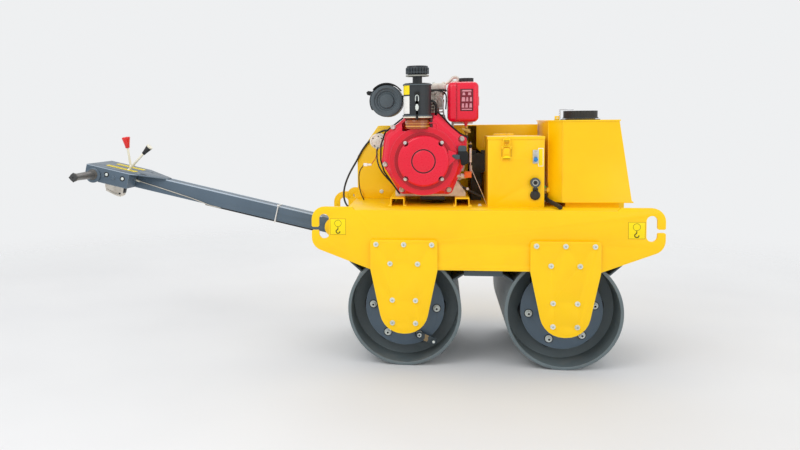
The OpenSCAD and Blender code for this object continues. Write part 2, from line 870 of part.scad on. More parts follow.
module cowl_outline(s) polygon(rounded(cowl_r * s * cowl_share));
module cowl_form(s, back, front)
    hull() {
        along_y(front + cowl_rim * 2, back) cowl_outline(s * cowl_body);
        along_y(front, back) cowl_outline(s * (cowl_body - cowl_slope));
    }
module cowl_rods(y0, y1, r) for (p = cowl_r * cowl_bolt_share) rod_y(p[0], p[1], y0, y1, r);
module fan_cowling()
    color(red) on_crank() difference() {
        union() {
            difference() {
                cowl_form(1, cowl_back_y, cowl_front_y);
                cowl_rods(cowl_front_y - over, cowl_back_y, scallop_r);
            }
            along_y(cowl_back_y - cowl_wall, cowl_back_y) cowl_outline(1);
            turned_y(0, 0) polygon([
                [intake_r, cowl_front_y + cowl_rim], [dish_r, cowl_front_y + cowl_rim],
                [dish_r, cowl_front_y], [dish_r - dish_h, cowl_front_y - dish_h],
                [intake_r, cowl_front_y - dish_h]
            ]);
        }
        difference() {
            cowl_form(1 - cowl_wall / cowl_r * 1.5, cowl_back_y + over, cowl_front_y + cowl_wall);
            cowl_rods(cowl_front_y, cowl_back_y + over, scallop_r + cowl_wall);
            rod_z(can_x, can_y, can_z - bowl_h - bowl_gap - 3 * cowl_wall, cowl_r + over,
                can_r + can_rim + 2 * cowl_wall);
        }
        rod_y(0, 0, cowl_front_y - recoil_depth, cowl_front_y + cowl_rim + over, intake_r);
        rod_z(can_x, can_y, can_z - bowl_h - bowl_gap - 2 * cowl_wall, cowl_r + over,
            can_r + can_rim + cowl_wall);
        cowl_rods(cowl_back_y - 2 * cowl_wall, cowl_back_y + over, bolt_r + fit_gap);
        for (i = [-1, 1]) for (j = [-1, 1])
            rod_y(i * recoil_bolt, j * recoil_bolt, cowl_front_y - dish_h - over,
                cowl_front_y + cowl_rim + over, bolt_r);
        for (k = [0 : vents - 1]) rotate([0, 360 * k / vents, 0])
            block([vent_in, cowl_front_y - dish_h - over, -vent_w / 2],
                [vent_out, cowl_front_y + cowl_rim + over, vent_w / 2]);
    }
module recoil_housing()
    color(red) on_crank() difference() {
        front = cowl_front_y - dish_h;
        union() {
            turned_y(0, 0) polygon(rounded([
                [0, front - recoil_depth + badge_t, 0],
                [badge_r + badge_gap, front - recoil_depth + badge_t, 0],
                [badge_r + badge_gap, front - recoil_depth, 0], [recoil_r, front - recoil_depth, recoil_edge],
                [recoil_r, front - recoil_flange_t, 0], [recoil_r + recoil_lip, front - recoil_flange_t, 0],
                [recoil_r + recoil_lip, front, 0], [recoil_r - cowl_wall, front, 0],
                [recoil_r - cowl_wall, front - recoil_depth + 2 * cowl_wall, 0],
                [0, front - recoil_depth + 2 * cowl_wall, 0]
            ]));
            along_y(front - recoil_depth / 2, front) polygon([
                [recoil_r - cowl_wall, -handle_half / 2],
                [recoil_r + handle_stem, -handle_t / 2 + handle_rise / 2 - cowl_wall],
                [recoil_r + handle_stem, handle_t / 2 + handle_rise / 2], [recoil_r - cowl_wall, handle_half]
            ]);
        }
        for (i = [-1, 1]) for (j = [-1, 1]) {
            rod_y(i * recoil_bolt, j * recoil_bolt, front - recoil_depth - over, front + over, bolt_r);
            rod_y(i * recoil_bolt, j * recoil_bolt, front - recoil_depth - over, front - recoil_flange_t,
                washer_r);
        }
    }
module small_bolt(shank) {
    translate([0, 0, -bolt_head_h / 2]) cylinder(h = bolt_head_h / 2, r = bolt_head_r * 0.9);
    translate([0, 0, -bolt_head_h]) cylinder(h = bolt_head_h, r = bolt_head_r * 0.7, $fn = 6);
    cylinder(h = shank, r = bolt_r - fit_gap);
}
module engine_bolts()
    color(silver) on_crank() {
        for (p = cowl_r * cowl_bolt_share)
            translate([p[0], cowl_back_y - cowl_wall, p[1]]) rotate([-90, 0, 0]) small_bolt(cowl_wall);
        for (i = [-1, 1]) for (j = [-1, 1])
            translate([i * recoil_bolt, cowl_front_y - dish_h - recoil_flange_t, j * recoil_bolt])
                rotate([-90, 0, 0]) small_bolt(recoil_flange_t + dish_h + cowl_rim);
    }
module pull_handle()
    color(black) on_crank() translate([0, cowl_front_y - dish_h - recoil_depth / 4, handle_rise / 2]) {
        x = recoil_r + handle_stem + seat_gap;
        rod_x(x, x + handle_w, 0, 0, handle_t / 3);
        hull() for (z = [-1, 1])
            rod_x(x + handle_w * 0.3, x + handle_w, 0, z * (handle_half - handle_t / 2), handle_t / 2,
                $fn = 32);
    }

module cylinder_fin(z, t, grow)
    translate([cyl_x, cyl_y, z]) linear_extrude(t)
        polygon(rounded(box_outline(
            [-cyl_half_x - grow, -cyl_half_y - grow], [cyl_half_x + grow, cyl_half_y + grow], fin_r
        )));
module engine_cylinder()
    color(silver) on_crank() {
        head_z = case_top + fins * fin_pitch;
        rod_z(cyl_x, cyl_y, case_top, head_z, barrel_r);
        for (k = [1 : fins]) cylinder_fin(case_top + k * fin_pitch - fin_t, fin_t, 0);
        cylinder_fin(head_z, head_h / 4, fin_t / 2);
        cylinder_fin(head_z + head_h / 4, head_h / 2, -fin_t);
        cylinder_fin(head_z + head_h * 3 / 4, head_h / 4, fin_t / 2);
        cylinder_fin(head_z + head_h, cover_h, -cover_in);
        for (i = [-1, 1])
            rod_z(cyl_x + i * barrel_r / 2, cyl_y, head_z + head_h, head_z + head_h + cover_h + tip, bolt_r);
    }

module muffler()
    color(iron) on_crank() {
        y0 = muffler_near_y;
        y1 = muffler_far_y;
        turned_y(muffler_x, muffler_z) polygon(rounded([
            [0, y0 + muffler_ring, 0], [muffler_r * 0.42, y0 + muffler_ring, 0],
            [muffler_r * 0.5, y0 + 2 * muffler_ring, 0], [muffler_r * 0.56, y0 + 2 * muffler_ring, 0],
            [muffler_r * 0.64, y0 + muffler_ring, 0], [muffler_r * 0.7, y0 + muffler_ring, 0],
            [muffler_r * 0.8, y0, 0],
            [muffler_r, y0, muffler_ring], [muffler_r, y1, muffler_ring], [0, y1, 0]
        ]));
        rod_x(muffler_x + muffler_r - muffler_ring, cyl_x - cyl_half_x - fin_t / 2, cyl_y, muffler_z, pipe_r);
        translate([muffler_x, y1, muffler_z]) rotate([90, 0, 0]) rotate(60) rotate_extrude(angle = 150)
            polygon([
                [muffler_r + guard_gap, 0], [muffler_r + guard_gap + guard_t, 0],
                [muffler_r + guard_gap + guard_t, y1 - y0 - muffler_r / 2],
                [muffler_r + guard_gap, y1 - y0 - muffler_r / 2]
            ]);
        for (a = [75, 195]) translate([muffler_x, 0, muffler_z]) rotate([0, -a, 0])
            rod_x(muffler_r - guard_gap, muffler_r + guard_gap, y1 / 2, 0, guard_gap);
    }

module air_cleaner()
    color(black) on_crank() {
        translate([can_x, can_y, can_z]) rotate_extrude() polygon([
            [0, 0], [can_r + can_rim, 0], [can_r + can_rim, can_rim_h / 2], [can_r, can_rim_h / 2],
            [can_r, can_h - can_rim_h], [can_r + can_rim / 2, can_h - can_rim_h],
            [can_r + can_rim / 2, can_h - can_rim_h / 2], [can_r - can_rim, can_h], [stem_r, can_h],
            [stem_r, can_h + stem_h], [rain_r * 0.8, can_h + stem_h], [rain_r, can_h + stem_h + can_rim],
            [rain_r, can_h + stem_h + rain_h / 3], [rain_r - can_rim, can_h + stem_h + rain_h / 3 + can_rim],
            [rain_r, can_h + stem_h + rain_h * 0.7], [rain_r - can_rim, can_h + stem_h + rain_h],
            [0, can_h + stem_h + rain_h]
        ]);
        rod_y(cyl_x - cyl_half_x / 2, can_z + duct_z, can_y + can_r / 2, cyl_y - cyl_half_y - fin_t / 2,
            duct_r);
        block([can_x - clip_w / 2, can_y - can_r - clip_t, can_z + can_rim_h],
              [can_x + clip_w / 2, can_y - can_r * 0.9, can_z + can_rim_h + clip_h]);
    }
module oil_bowl()
    color("orange") on_crank() {
        translate([can_x, can_y, can_z - bowl_h - bowl_gap]) rotate_extrude() polygon(rounded([
            [0, 0, 0], [bowl_r, 0, can_rim], [bowl_r, bowl_h - can_rim_h, 0], [bowl_r - can_rim, bowl_h, 0],
            [can_r + can_rim / 2, bowl_h + can_rim, 0], [can_r + can_rim / 2, bowl_h + bowl_gap, 0],
            [0, bowl_h + bowl_gap, 0]
        ]));
    }

module fuel_form(grow, x0, x1)
    hull() for (x = [x0 + fuel_r, x1 - fuel_r])
        for (y = [fuel_near_y + fuel_r, fuel_far_y - fuel_r])
            for (z = [fuel_z + fuel_r, fuel_z + fuel_h - fuel_r])
                translate([x, y, z]) sphere(r = fuel_r + grow, $fn = 24);
module fuel_tank()
    color(red) on_crank()
        difference() {
            union() {
                fuel_form(0, fuel_x, fuel_x + fuel_w);
                translate([fuel_x + seam_x, 0, 0]) rotate([90, 0, 90]) linear_extrude(seam_t)
                    polygon(rounded(box_outline(
                        [fuel_near_y - seam_rise, fuel_z - seam_rise],
                        [fuel_far_y + seam_rise, fuel_z + fuel_h + seam_rise], fuel_r
                    )));
                rod_z(fuel_x + fuel_w - fuel_cap_in, fuel_cap_y, fuel_z + fuel_h - fuel_r,
                    fuel_z + fuel_h + fuel_neck_h, fuel_neck_r);
            }
            rod_z(fuel_x + fuel_w - fuel_cap_in, fuel_cap_y, fuel_z + fuel_h - fuel_r,
                fuel_z + fuel_h + fuel_neck_h + over, fuel_neck_r - tip);
            fuel_form(-fuel_t, fuel_x, fuel_x + fuel_w);
        }
module fuel_cap()
    color(black) on_crank()
        translate([fuel_x + fuel_w - fuel_cap_in, fuel_cap_y, fuel_z + fuel_h + fuel_neck_h]) {
        translate([0, 0, -fuel_r / 2]) cylinder(h = fuel_r / 2 + seat_gap, r = fuel_neck_r - tip - run_gap);
        translate([0, 0, seat_gap]) difference() {
            cylinder(h = fuel_cap_h, r = fuel_cap_r);
            for (k = [1 : 12])
                rotate(30 * k) translate([fuel_cap_r + tip, 0, -over])
                    cylinder(h = fuel_cap_h + 2 * over, r = 2 * tip);
        }
    }

module starter_motor()
    color(silver) on_crank() {
        turned_y(starter_x, starter_z) polygon(rounded([
            [0, starter_near_y - tip, 0], [starter_r * 0.35, starter_near_y - tip, 0],
            [starter_r * 0.35, starter_near_y, 0], [starter_r, starter_near_y, tip],
            [starter_r, starter_far_y, tip], [0, starter_far_y, 0]
        ]));
        block([starter_x, starter_near_y + starter_r, starter_z - starter_r * 0.7],
              [-case_half, starter_far_y - starter_r, starter_z + starter_r * 0.4]);
    }

// Tank bracket, injection pump, governor arm and the speed rod beside the engine
module engine_fittings()
    color(silver) on_crank() {
        step = fin_t;
        difference() {
            block([case_half, fuel_near_y / 2, fuel_z - 2 * step],
                [fuel_x + fuel_w - fuel_r, fuel_far_y / 2, fuel_z]);
            block([fuel_x + seam_x - seat_gap, fuel_near_y, fuel_z - seam_rise - seat_gap],
                [fuel_x + seam_x + seam_t + seat_gap, fuel_far_y, fuel_z + over]);
        }
        block([case_half, fuel_near_y / 2, -case_step], [case_half + 2 * step, fuel_far_y / 2, fuel_z]);
        block([case_half, fuel_near_y / 2, -case_step], [fit_x, -case_step, 2 * case_step]);
        rod_z(fit_x - valve_r, fit_y + valve_r, 2 * case_step, 4 * case_step, valve_r / 2);
        rod_z(fit_x + 2 * tip, fit_y, -3 * case_step / 2, 2 * case_step, cock_r);
        block([fit_x, fit_y - cock_r, -case_step], [fit_x + 2 * tip, fit_y + cock_r, 0]);
        block([case_half, fit_y - cock_r, -2 * case_step],
            [fit_x + 2 * tip, fit_y + cock_r, -3 * case_step / 2]);
        hull() {
            translate([case_half, fit_y - cock_r, -2 * case_step]) cube([tip, 2 * cock_r, case_step / 2]);
            rod_y(fit_x - valve_r, -3 * case_step, fit_y - cock_r, fit_y + cock_r, valve_r, $fn = 32);
        }
    }

// Battery box: an open box, its lid on a barrel hinge, and the battery inside
hinge_y = box_far_y + hinge_r + hinge_gap;
hinge_z = deck_z + box_h - lid_t + hinge_r;
module box_wall_hole(x, z, r) rod_y(x, z, box_near_y - over, box_near_y + box_t + over, r);
module box_body()
    color(yellow) {
        top = deck_z + box_h - lid_t;
        third = hinge_len / 3;
        difference() {
            block([box_x, box_near_y, deck_z], [box_x + box_w, box_far_y, top]);
            block([box_x + box_t, box_near_y + box_t, deck_z + box_t],
                [box_x + box_w - box_t, box_far_y - box_t, top + over]);
            box_wall_hole(box_x + plate_x + switch_w / 2, deck_z + switch_low + button_rise, button_cap_r);
            box_wall_hole(box_x + key_x, deck_z + key_rise, barrel_key_r + tip);
        }
        rod_x(box_x + hinge_left + third + hinge_gap, box_x + hinge_left + 2 * third - hinge_gap, hinge_y,
            hinge_z, hinge_r);
        rod_x(box_x + hinge_left, box_x + hinge_left + hinge_len, hinge_y, hinge_z, pin_r);
        block([box_x + hinge_left + third + hinge_gap, box_far_y, top - 4 * hinge_r],
              [box_x + hinge_left + 2 * third - hinge_gap, hinge_y, hinge_z - hinge_r / 2]);
        for (i = [0, 1])
            block([box_x + latch_x + i * (latch_w - latch_base), box_near_y - 2 * latch_base,
                deck_z + latch_low],
                  [box_x + latch_x + latch_base + i * (latch_w - latch_base), box_near_y,
                      deck_z + latch_low + 3 * latch_base]);
        rod_x(box_x + latch_x, box_x + latch_x + latch_w, box_near_y - latch_base - latch_pin_r / 2,
              deck_z + latch_low + 3 * latch_base / 2, latch_pin_r);
    }
module box_lid()
    color(yellow) {
        low = deck_z + box_h - lid_t + seat_gap;
        third = hinge_len / 3;
        difference() {
            block([box_x - lid_over, box_near_y - lid_over, low - lid_lip],
                  [box_x + box_w + lid_over, box_far_y - tip, low + lid_t]);
            block([box_x - seat_gap, box_near_y - seat_gap, low - lid_lip - over],
                  [box_x + box_w + seat_gap, box_far_y, low]);
        }
        for (k = [0, 2]) difference() {
            union() {
                rod_x(box_x + hinge_left + k * third, box_x + hinge_left + (k + 1) * third, hinge_y,
                    hinge_z, hinge_r);
                block([box_x + hinge_left + k * third, box_far_y - 4 * tip, low],
                      [box_x + hinge_left + (k + 1) * third, hinge_y, hinge_z + hinge_r]);
            }
            rod_x(box_x + hinge_left + k * third - over, box_x + hinge_left + (k + 1) * third + over,
                hinge_y, hinge_z, pin_r + run_gap);
        }
    }
module box_latch()
    color(yellow) {
        x0 = box_x + latch_x + latch_base + seat_gap;
        x1 = box_x + latch_x + latch_w - latch_base - seat_gap;
        y = box_near_y - lid_over - latch_pin_r;
        z = deck_z + latch_low + 3 * latch_base / 2;
        difference() {
            union() {
                rod_x(x0, x1, box_near_y - latch_base - latch_pin_r / 2, z, latch_base);
                block([x0, y - latch_t, z], [x1, y, z + latch_h]);
                rod_x(x0, x1, y - latch_t, z + latch_h - latch_base, latch_base);
            }
            rod_x(x0 - over, x1 + over, box_near_y - latch_base - latch_pin_r / 2, z, latch_pin_r + run_gap);
            block([x0 + latch_base, y - latch_t - over, z + latch_h / 2],
                [x1 - latch_base, y + over, z + latch_h - 3 * latch_base]);
        }
    }
module battery()
    color(black) {
        block([box_x + battery_in, box_near_y + 2 * battery_in, deck_z + box_t],
              [box_x + box_w - 4 * battery_in, box_far_y - battery_in, deck_z + box_t + battery_h]);
        for (x = [box_x + 3 * battery_in, box_x + box_w - 6 * battery_in])
            rod_z(x, box_far_y - 4 * battery_in, deck_z + box_t + battery_h,
                deck_z + box_t + battery_h + post_h, post_r);
    }
module switch_plate()
    color(silver) difference() {
        union() {
            block([box_x + plate_x, box_near_y - switch_t, deck_z + switch_low],
                  [box_x + plate_x + switch_w, box_near_y, deck_z + switch_low + switch_h]);
            rod_y(box_x + plate_x + switch_w / 2, deck_z + switch_low + switch_h - button_rise,
                  box_near_y - switch_t - button_r / 2, box_near_y - switch_t, button_r);
        }
        rod_y(box_x + plate_x + switch_w / 2, deck_z + switch_low + button_rise, box_near_y - switch_t - over,
              box_near_y + over, button_r + run_gap);
    }
module start_button()
    color("dodgerblue") {
        x = box_x + plate_x + switch_w / 2;
        z = deck_z + switch_low + button_rise;
        y = box_near_y - switch_t - button_travel - seat_gap;
        rod_y(x, z, y, box_near_y + 2 * box_t, button_r);
        rod_y(x, z, y - button_out, y, button_cap_r);
    }
dust_y = box_near_y - key_out;
dust_z = deck_z + key_rise - dust_drop / 2;
module key_switch()
    color(black) difference() {
        x = box_x + key_x;
        z = deck_z + key_rise;
        union() {
            turned_y(x, z) polygon([
                [0, box_near_y], [key_r, box_near_y], [key_r, box_near_y - key_out / 2],
                [key_r - tip, box_near_y - key_out], [0, box_near_y - key_out]
            ]);
            rod_y(x, z, box_near_y, box_near_y + 4 * box_t, barrel_key_r + tip - seat_gap);
            block([x - ear_w / 2, dust_y, dust_z - 2 * dust_pin_r],
                [x + ear_w / 2, box_near_y - key_out / 2, z]);
            rod_x(x - ear_w / 2, x + ear_w / 2, dust_y, dust_z, 2 * dust_pin_r - seat_gap);
        }
        rod_y(x, z, box_near_y - key_out - over, box_near_y + 4 * box_t + over, barrel_key_r + run_gap);
        rod_x(x - ear_w / 2 - over, x + ear_w / 2 + over, dust_y, dust_z, dust_pin_r + run_gap);
    }
module key_barrel()
    color(silver) difference() {
        x = box_x + key_x;
        z = deck_z + key_rise;
        rod_y(x, z, box_near_y - key_out - barrel_out, box_near_y + 4 * box_t, barrel_key_r);
        block([x - key_slot / 2, box_near_y - key_out - barrel_out - over, z - barrel_key_r / 2],
              [x + key_slot / 2, box_near_y - key_out / 2, z + barrel_key_r / 2]);
    }
module dust_cap()
    color(black) {
        x = box_x + key_x;
        z = deck_z + key_rise - dust_drop;
        arm = ear_w / 2 + seat_gap;
        turned_y(x, z) polygon([
            [0, box_near_y - seat_gap], [key_r, box_near_y - seat_gap], [key_r, box_near_y - dust_t],
            [key_r - tip, box_near_y - dust_t - tip], [0, box_near_y - dust_t - tip]
        ]);
        for (s = [-1, 1]) translate([x + s * (arm + tip / 2), 0, 0]) {
            block([-tip / 2, dust_y + seat_gap, z], [tip / 2, box_near_y - dust_t, dust_z]);
            rod_x(-tip / 2, tip / 2, dust_y, dust_z, dust_pin_r + tip / 2);
        }
        rod_x(x - arm - tip, x + arm + tip, dust_y, dust_z, dust_pin_r);
    }

// Water tank: a tapered welded box with a chamfered corner, open only at the filler
tank_z = deck_z + foot_h;
lever_x = tank_x + neck_x - cap_r - 3 * lever_ear;
function tank_plan(w) = [
    [tank_x + w, tank_near_y + tank_chamfer + w / 2], [tank_x + tank_chamfer + w / 2, tank_near_y + w],
    [tank_x + tank_w + lip, tank_near_y + w], [tank_x + tank_w + lip, tank_far_y - w],
    [tank_x + w, tank_far_y - w]
];
module tank_side(w)
    polygon([
        [tank_x - over, tank_z + w], [tank_x + tank_w - w, tank_z + w],
        [tank_x + tank_w - tank_slope - w, tank_z + tank_h - w], [tank_x - over, tank_z + tank_h - w]
    ]);
module tank_form(w)
    intersection() {
        translate([0, 0, tank_z]) linear_extrude(tank_h) polygon(tank_plan(w));
        along_y(tank_near_y, tank_far_y) tank_side(w);
    }
module water_tank()
    color(yellow) {
        difference() {
            union() {
                tank_form(0);
                block([tank_x + tank_chamfer, tank_near_y - lip, tank_z],
                    [tank_x + tank_w + lip, tank_far_y + lip, tank_z + lip_t]);
                translate([0, 0, tank_z + tank_h - lip_t]) linear_extrude(lip_t) polygon([
                    [tank_x - lip, tank_near_y + tank_chamfer - lip / 2],
                    [tank_x + tank_chamfer - lip / 2, tank_near_y - lip],
                    [tank_x + tank_w - tank_slope + lip, tank_near_y - lip],
                    [tank_x + tank_w - tank_slope + lip, tank_far_y + lip], [tank_x - lip, tank_far_y + lip]
                ]);
                rod_z(tank_x + neck_x, neck_y, tank_z + tank_h, tank_z + tank_h + neck_h, neck_r + tank_t);
                rod_x(tank_x - valve_r / 2, tank_x + tank_t, valve_y + valve_r, tank_z + valve_z, valve_r);
                for (s = [-1, 1])
                    block([lever_x - lever_ear, neck_y + s * (lever_w / 2 + tip / 2 + seat_gap) - tip / 2,
                        tank_z + tank_h],
                          [lever_x + lever_ear, neck_y + s * (lever_w / 2 + tip / 2 + seat_gap) + tip / 2,
                           tank_z + tank_h + 2 * lever_ear]);
                rod_y(lever_x, tank_z + tank_h + lever_ear, neck_y - lever_w / 2 - tip,
                    neck_y + lever_w / 2 + tip, pin_r);
            }
            tank_form(tank_t);
            rod_z(tank_x + neck_x, neck_y, tank_z + tank_h - 2 * tank_t, tank_z + tank_h + neck_h + over,
                neck_r);
        }
        for (y = [tank_near_y + foot_in, tank_far_y - foot_in - foot_w])
            block([tank_x + tank_chamfer + foot_in, y, deck_z],
                [tank_x + tank_w - 3 * foot_in, y + foot_w, tank_z]);
    }
module tank_cap()
    color(black) translate([tank_x + neck_x, neck_y, tank_z + tank_h + neck_h + seat_gap]) {
        translate([0, 0, -neck_h]) cylinder(h = neck_h, r = neck_r - run_gap);
        cylinder(h = cap_flange_h / 2, r = cap_r + tip);
        difference() {
            translate([0, 0, cap_flange_h / 2]) cylinder(h = cap_h - cap_flange_h / 2, r = cap_r);
            for (k = [1 : cap_ribs])
                rotate(360 * k / cap_ribs) translate([cap_r + cap_rib / 2, 0, cap_flange_h])
                cylinder(h = cap_h, r = cap_rib);
            translate([0, 0, cap_h - tip]) cylinder(h = tip + over, r = cap_r - 3 * tip);
        }
    }
module cap_lever()
    color(silver) {
        z = tank_z + tank_h;
        low = neck_y - lever_w / 2;
        high = neck_y + lever_w / 2;
        difference() {
            union() {
                rod_y(lever_x, z + lever_ear, low, high, lever_ear * 0.8);
                block([lever_x, low, z + lever_ear - lever_t / 2],
                    [lever_x + lever_ear + lever_t, high, z + lever_ear + lever_t / 2]);
                block([lever_x + lever_ear, low, z + lever_ear - lever_t / 2],
                      [lever_x + lever_ear + lever_t, high, z + cap_h + neck_h + 2 * lever_t]);
                block([lever_x + lever_ear, low, z + cap_h + neck_h + lever_t],
                      [lever_x + lever_len, high, z + cap_h + neck_h + 2 * lever_t]);
            }
            rod_y(lever_x, z + lever_ear, low - over, high + over, pin_r + run_gap);
        }
    }
module drain_valve()
    color(silver) {
        x = tank_x - valve_r / 2;
        y = valve_y + valve_r;
        z = tank_z + valve_z;
        difference() {
            union() {
                rod_x(x - valve_len, x, y, z, valve_r * 0.8);
                rod_z(x - valve_len / 2, y, z - valve_drop, z, valve_r / 2);
                rod_z(x - valve_len / 2, y, z, z + valve_r, valve_r / 2);
            }
            rod_z(x - valve_len / 2, y, z, z + valve_r + over, cock_t + run_gap);
        }
    }
module valve_handle()
    color("limegreen") {
        x = tank_x - valve_r / 2 - valve_len / 2;
        y = valve_y + valve_r;
        z = tank_z + valve_z + valve_r;
        rod_z(x, y, z - valve_r / 2, z + cock_t + seat_gap, cock_t);
        block([x - cock_r, y - cock_len, z + seat_gap], [x + cock_r, y + cock_r, z + 2 * cock_t]);
    }
module drain_hose() color(black) sweep(smooth(hose_route, 3), hose_r, 10);

// Drawbar: everything here lies along the bar, which runs towards -X from its pivot
module on_bar() translate([pivot_x, 0, pivot_z]) rotate([0, bar_tilt, 0]) children();
module bar_plan(points) mirror([1, 0]) polygon(points);
module drawbar_pivot()
    color(yellow) {
        end = -deck_reach;
        both_sides() difference() {
            union() {
                block([pivot_x, -bar_s / 2 - ear_gap - ear_t, pivot_z - ear_r],
                    [end, -bar_s / 2 - ear_gap, pivot_z + ear_r]);
                rod_y(pivot_x, pivot_z, -bar_s / 2 - ear_gap - ear_t, -bar_s / 2 - ear_gap, ear_r);
            }
            rod_y(pivot_x, pivot_z, -bar_s, 0, pivot_r);
        }
        rod_y(pivot_x, pivot_z, -bar_s / 2 - ear_gap - 2 * ear_t, bar_s / 2 + ear_gap + 2 * ear_t, pivot_r);
        block([pivot_x + eye_out_r + seat_gap, -bar_s / 2 - ear_gap, pivot_z - ear_r],
            [end, bar_s / 2 + ear_gap, pivot_z - ear_r + ear_t]);
    }
module drawbar()
    color(slate) on_bar() difference() {
        union() {
            difference() {
                block([-bar_reach + head_len, -bar_s / 2, -bar_s / 2], [-bar_start, bar_s / 2, bar_s / 2]);
                block([-bar_reach + head_len - over, -bar_s / 2 + bar_t, -bar_s / 2 + bar_t],
                      [-bar_start - eye_out_r, bar_s / 2 - bar_t, bar_s / 2 - bar_t]);
            }
            rod_y(0, 0, -bar_s / 2, bar_s / 2, eye_out_r);
        }
        rod_y(0, 0, -bar_s / 2 - over, bar_s / 2 + over, pivot_r + run_gap);
    }
module lever_slot(y, ends)
    translate([-bar_reach + shaft_u, y, bar_s / 2 - over]) linear_extrude(head_t + 2 * over) {
        translate([ends[0], -slot_half_w]) square([ends[1] - ends[0], 2 * slot_half_w]);
        for (x = ends) translate([x, 0]) circle(slot_half_w);
    }
module control_head()
    color(slate) on_bar() {
        half = head_w / 2;
        rear = -bar_reach;
        front = -bar_reach + head_len;
        difference() {
            union() {
                translate([0, 0, bar_s / 2]) linear_extrude(head_t) polygon([
                    [rear, -half], [front, -half], [-bar_reach + nose_len, -bar_s / 2],
                    [-bar_reach + nose_len, bar_s / 2], [front, half], [rear, half]
                ]);
                both_sides() along_y(-half, -half + head_t) polygon([
                    [rear, 0], [rear + head_low, -head_back], [front, -head_back], [front, bar_s / 2],
                    [rear, bar_s / 2]
                ]);
                along_y(-half, half) polygon([
                    [rear, 0], [rear + head_low, -head_back], [front, -head_back],
                    [front, -head_back + head_t],
                    [rear + head_low, -head_back + head_t], [rear + head_t, head_t],
                    [rear + head_t, bar_s / 2],
                    [rear, bar_s / 2]
                ]);
                block([front - head_t, -half, -head_back], [front, half, bar_s / 2]);
            }
            rod_y(rear + grip_u, grip_w, -half - over, half + over, grip_r - tip + fit_gap);
            lever_slot(red_y, red_slot);
            lever_slot(black_y, black_slot);
            for (y = [-half / 2, half / 2])
                rod_z(rear + nose_len * 0.7, y * 0.8, bar_s / 2 - over, bar_s / 2 + head_t + over, shaft_r);
        }
        rod_y(rear + shaft_u, shaft_w, -half - flange_out_t, half + flange_out_t, shaft_r);
        both_sides() translate([rear + grip_u + flange_out_r + shaft_r * 3, -half, shaft_w])
            rotate([90, 0, 0])
            cylinder(h = flange_out_t, r = shaft_r);
    }
module handlebar()
    color(black) on_bar() {
        x = -bar_reach + grip_u;
        y = head_w / 2;
        rod_y(x, grip_w, -y - flange_out_t, y + flange_out_t, grip_r - tip);
        both_sides() turned_y(x, grip_w) polygon([
            [0, -grip_span / 2], [grip_r * 0.9, -grip_span / 2], [grip_r, -grip_span / 2 + tip],
            [grip_r, -grip_span / 2 + 3 * tip], [grip_r - tip, -grip_span / 2 + 5 * tip],
            [grip_r, -y - 3 * flange_out_t], [flange_out_r, -y - flange_out_t], [flange_out_r, -y], [0, -y]
        ]);
    }
module control_valve()
    color(silver) on_bar() {
        x = -bar_reach + valve_u;
        along_y(-valve_wide / 2, valve_wide / 2) polygon(rounded([
            [x + 3 * tip, -head_back, 0], [x + 3 * tip, -head_back - valve_deep * 0.8, 2 * tip],
            [x + valve_long * 0.8, -head_back - valve_deep, tip],
            [x + valve_long, -head_back - valve_deep * 0.7, tip],
            [x + valve_long * 0.95, -head_back, 0]
        ]));
        for (y = [-valve_wide / 4, valve_wide / 4])
            rod_x(x + valve_long * 0.9, x + valve_long + 2 * tip, y, -head_back - valve_deep * 0.6, shaft_r);
    }
module hand_lever(y, lean, length, tint)
    on_bar() translate([-bar_reach + shaft_u, y, shaft_w]) rotate([0, -lean, 0]) {
        color(silver) difference() {
            union() {
                rod_y(0, 0, -lever_hub_w / 2, lever_hub_w / 2, lever_hub_r);
                cylinder(h = length - knob_h / 2, r = lever_r);
            }
            rod_y(0, 0, -lever_hub_w, lever_hub_w, shaft_r + run_gap);
        }
        color(tint) translate([0, 0, length - knob_h]) rotate_extrude() polygon(rounded([
            [0, 0, 0], [knob_low_r, 0, 0], [knob_top_r, knob_h - tip, tip],
            [knob_top_r - tip, knob_h, tip / 2], [0, knob_h, 0]
        ]));
    }
module red_lever() hand_lever(red_y, red_lean, red_len, red);
module black_lever() hand_lever(black_y, black_lean, black_len, black);
module bar_cable() color("white") on_bar() sweep(smooth(bar_route, cable_steps), bar_cable_r, cable_sides);
module machine_cable() color(black) sweep(smooth(machine_route, cable_steps), cable_r, cable_sides);

placed() side_plate_near();
placed() side_plate_far();
placed() deck();
placed() drum_brackets();
placed() frame_bolts();
placed() drum_hubs();
placed() scrapers();
placed() belt_hood();
placed() hydraulic_pump();
placed() drive_belt();
placed() box_body();
placed() battery();
placed() switch_plate();
placed() key_switch();
placed() water_tank();
placed() drain_valve();
placed() drain_hose();
placed() crankcase();
placed() engine_cylinder();
placed() fan_cowling();
placed() recoil_housing();
placed() muffler();
placed() air_cleaner();
placed() oil_bowl();
placed() fuel_tank();
placed() starter_motor();
placed() engine_fittings();
placed() engine_bolts();
placed() drawbar_pivot();
placed() machine_cable();
placed() rear_drum();
placed() rear_discs();
placed() rear_buffers();
placed() rear_disc_bolts();
placed() rear_exciter();
placed() front_drum();
placed() front_discs();
placed() front_buffers();
placed() front_disc_bolts();
placed() front_exciter();
placed() crankshaft();
placed() crank_pulley();
placed() pump_pulley();
placed() box_lid();
placed() box_latch();
placed() start_button();
placed() key_barrel();
placed() dust_cap();
placed() tank_cap();
placed() cap_lever();
placed() valve_handle();
placed() pull_handle();
placed() fuel_cap();
placed() drawbar();
placed() control_head();
placed() handlebar();
placed() control_valve();
placed() red_lever();
placed() black_lever();
placed() bar_cable();
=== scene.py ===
import json
import math

import bmesh
import bpy
from mathutils import Matrix, Vector

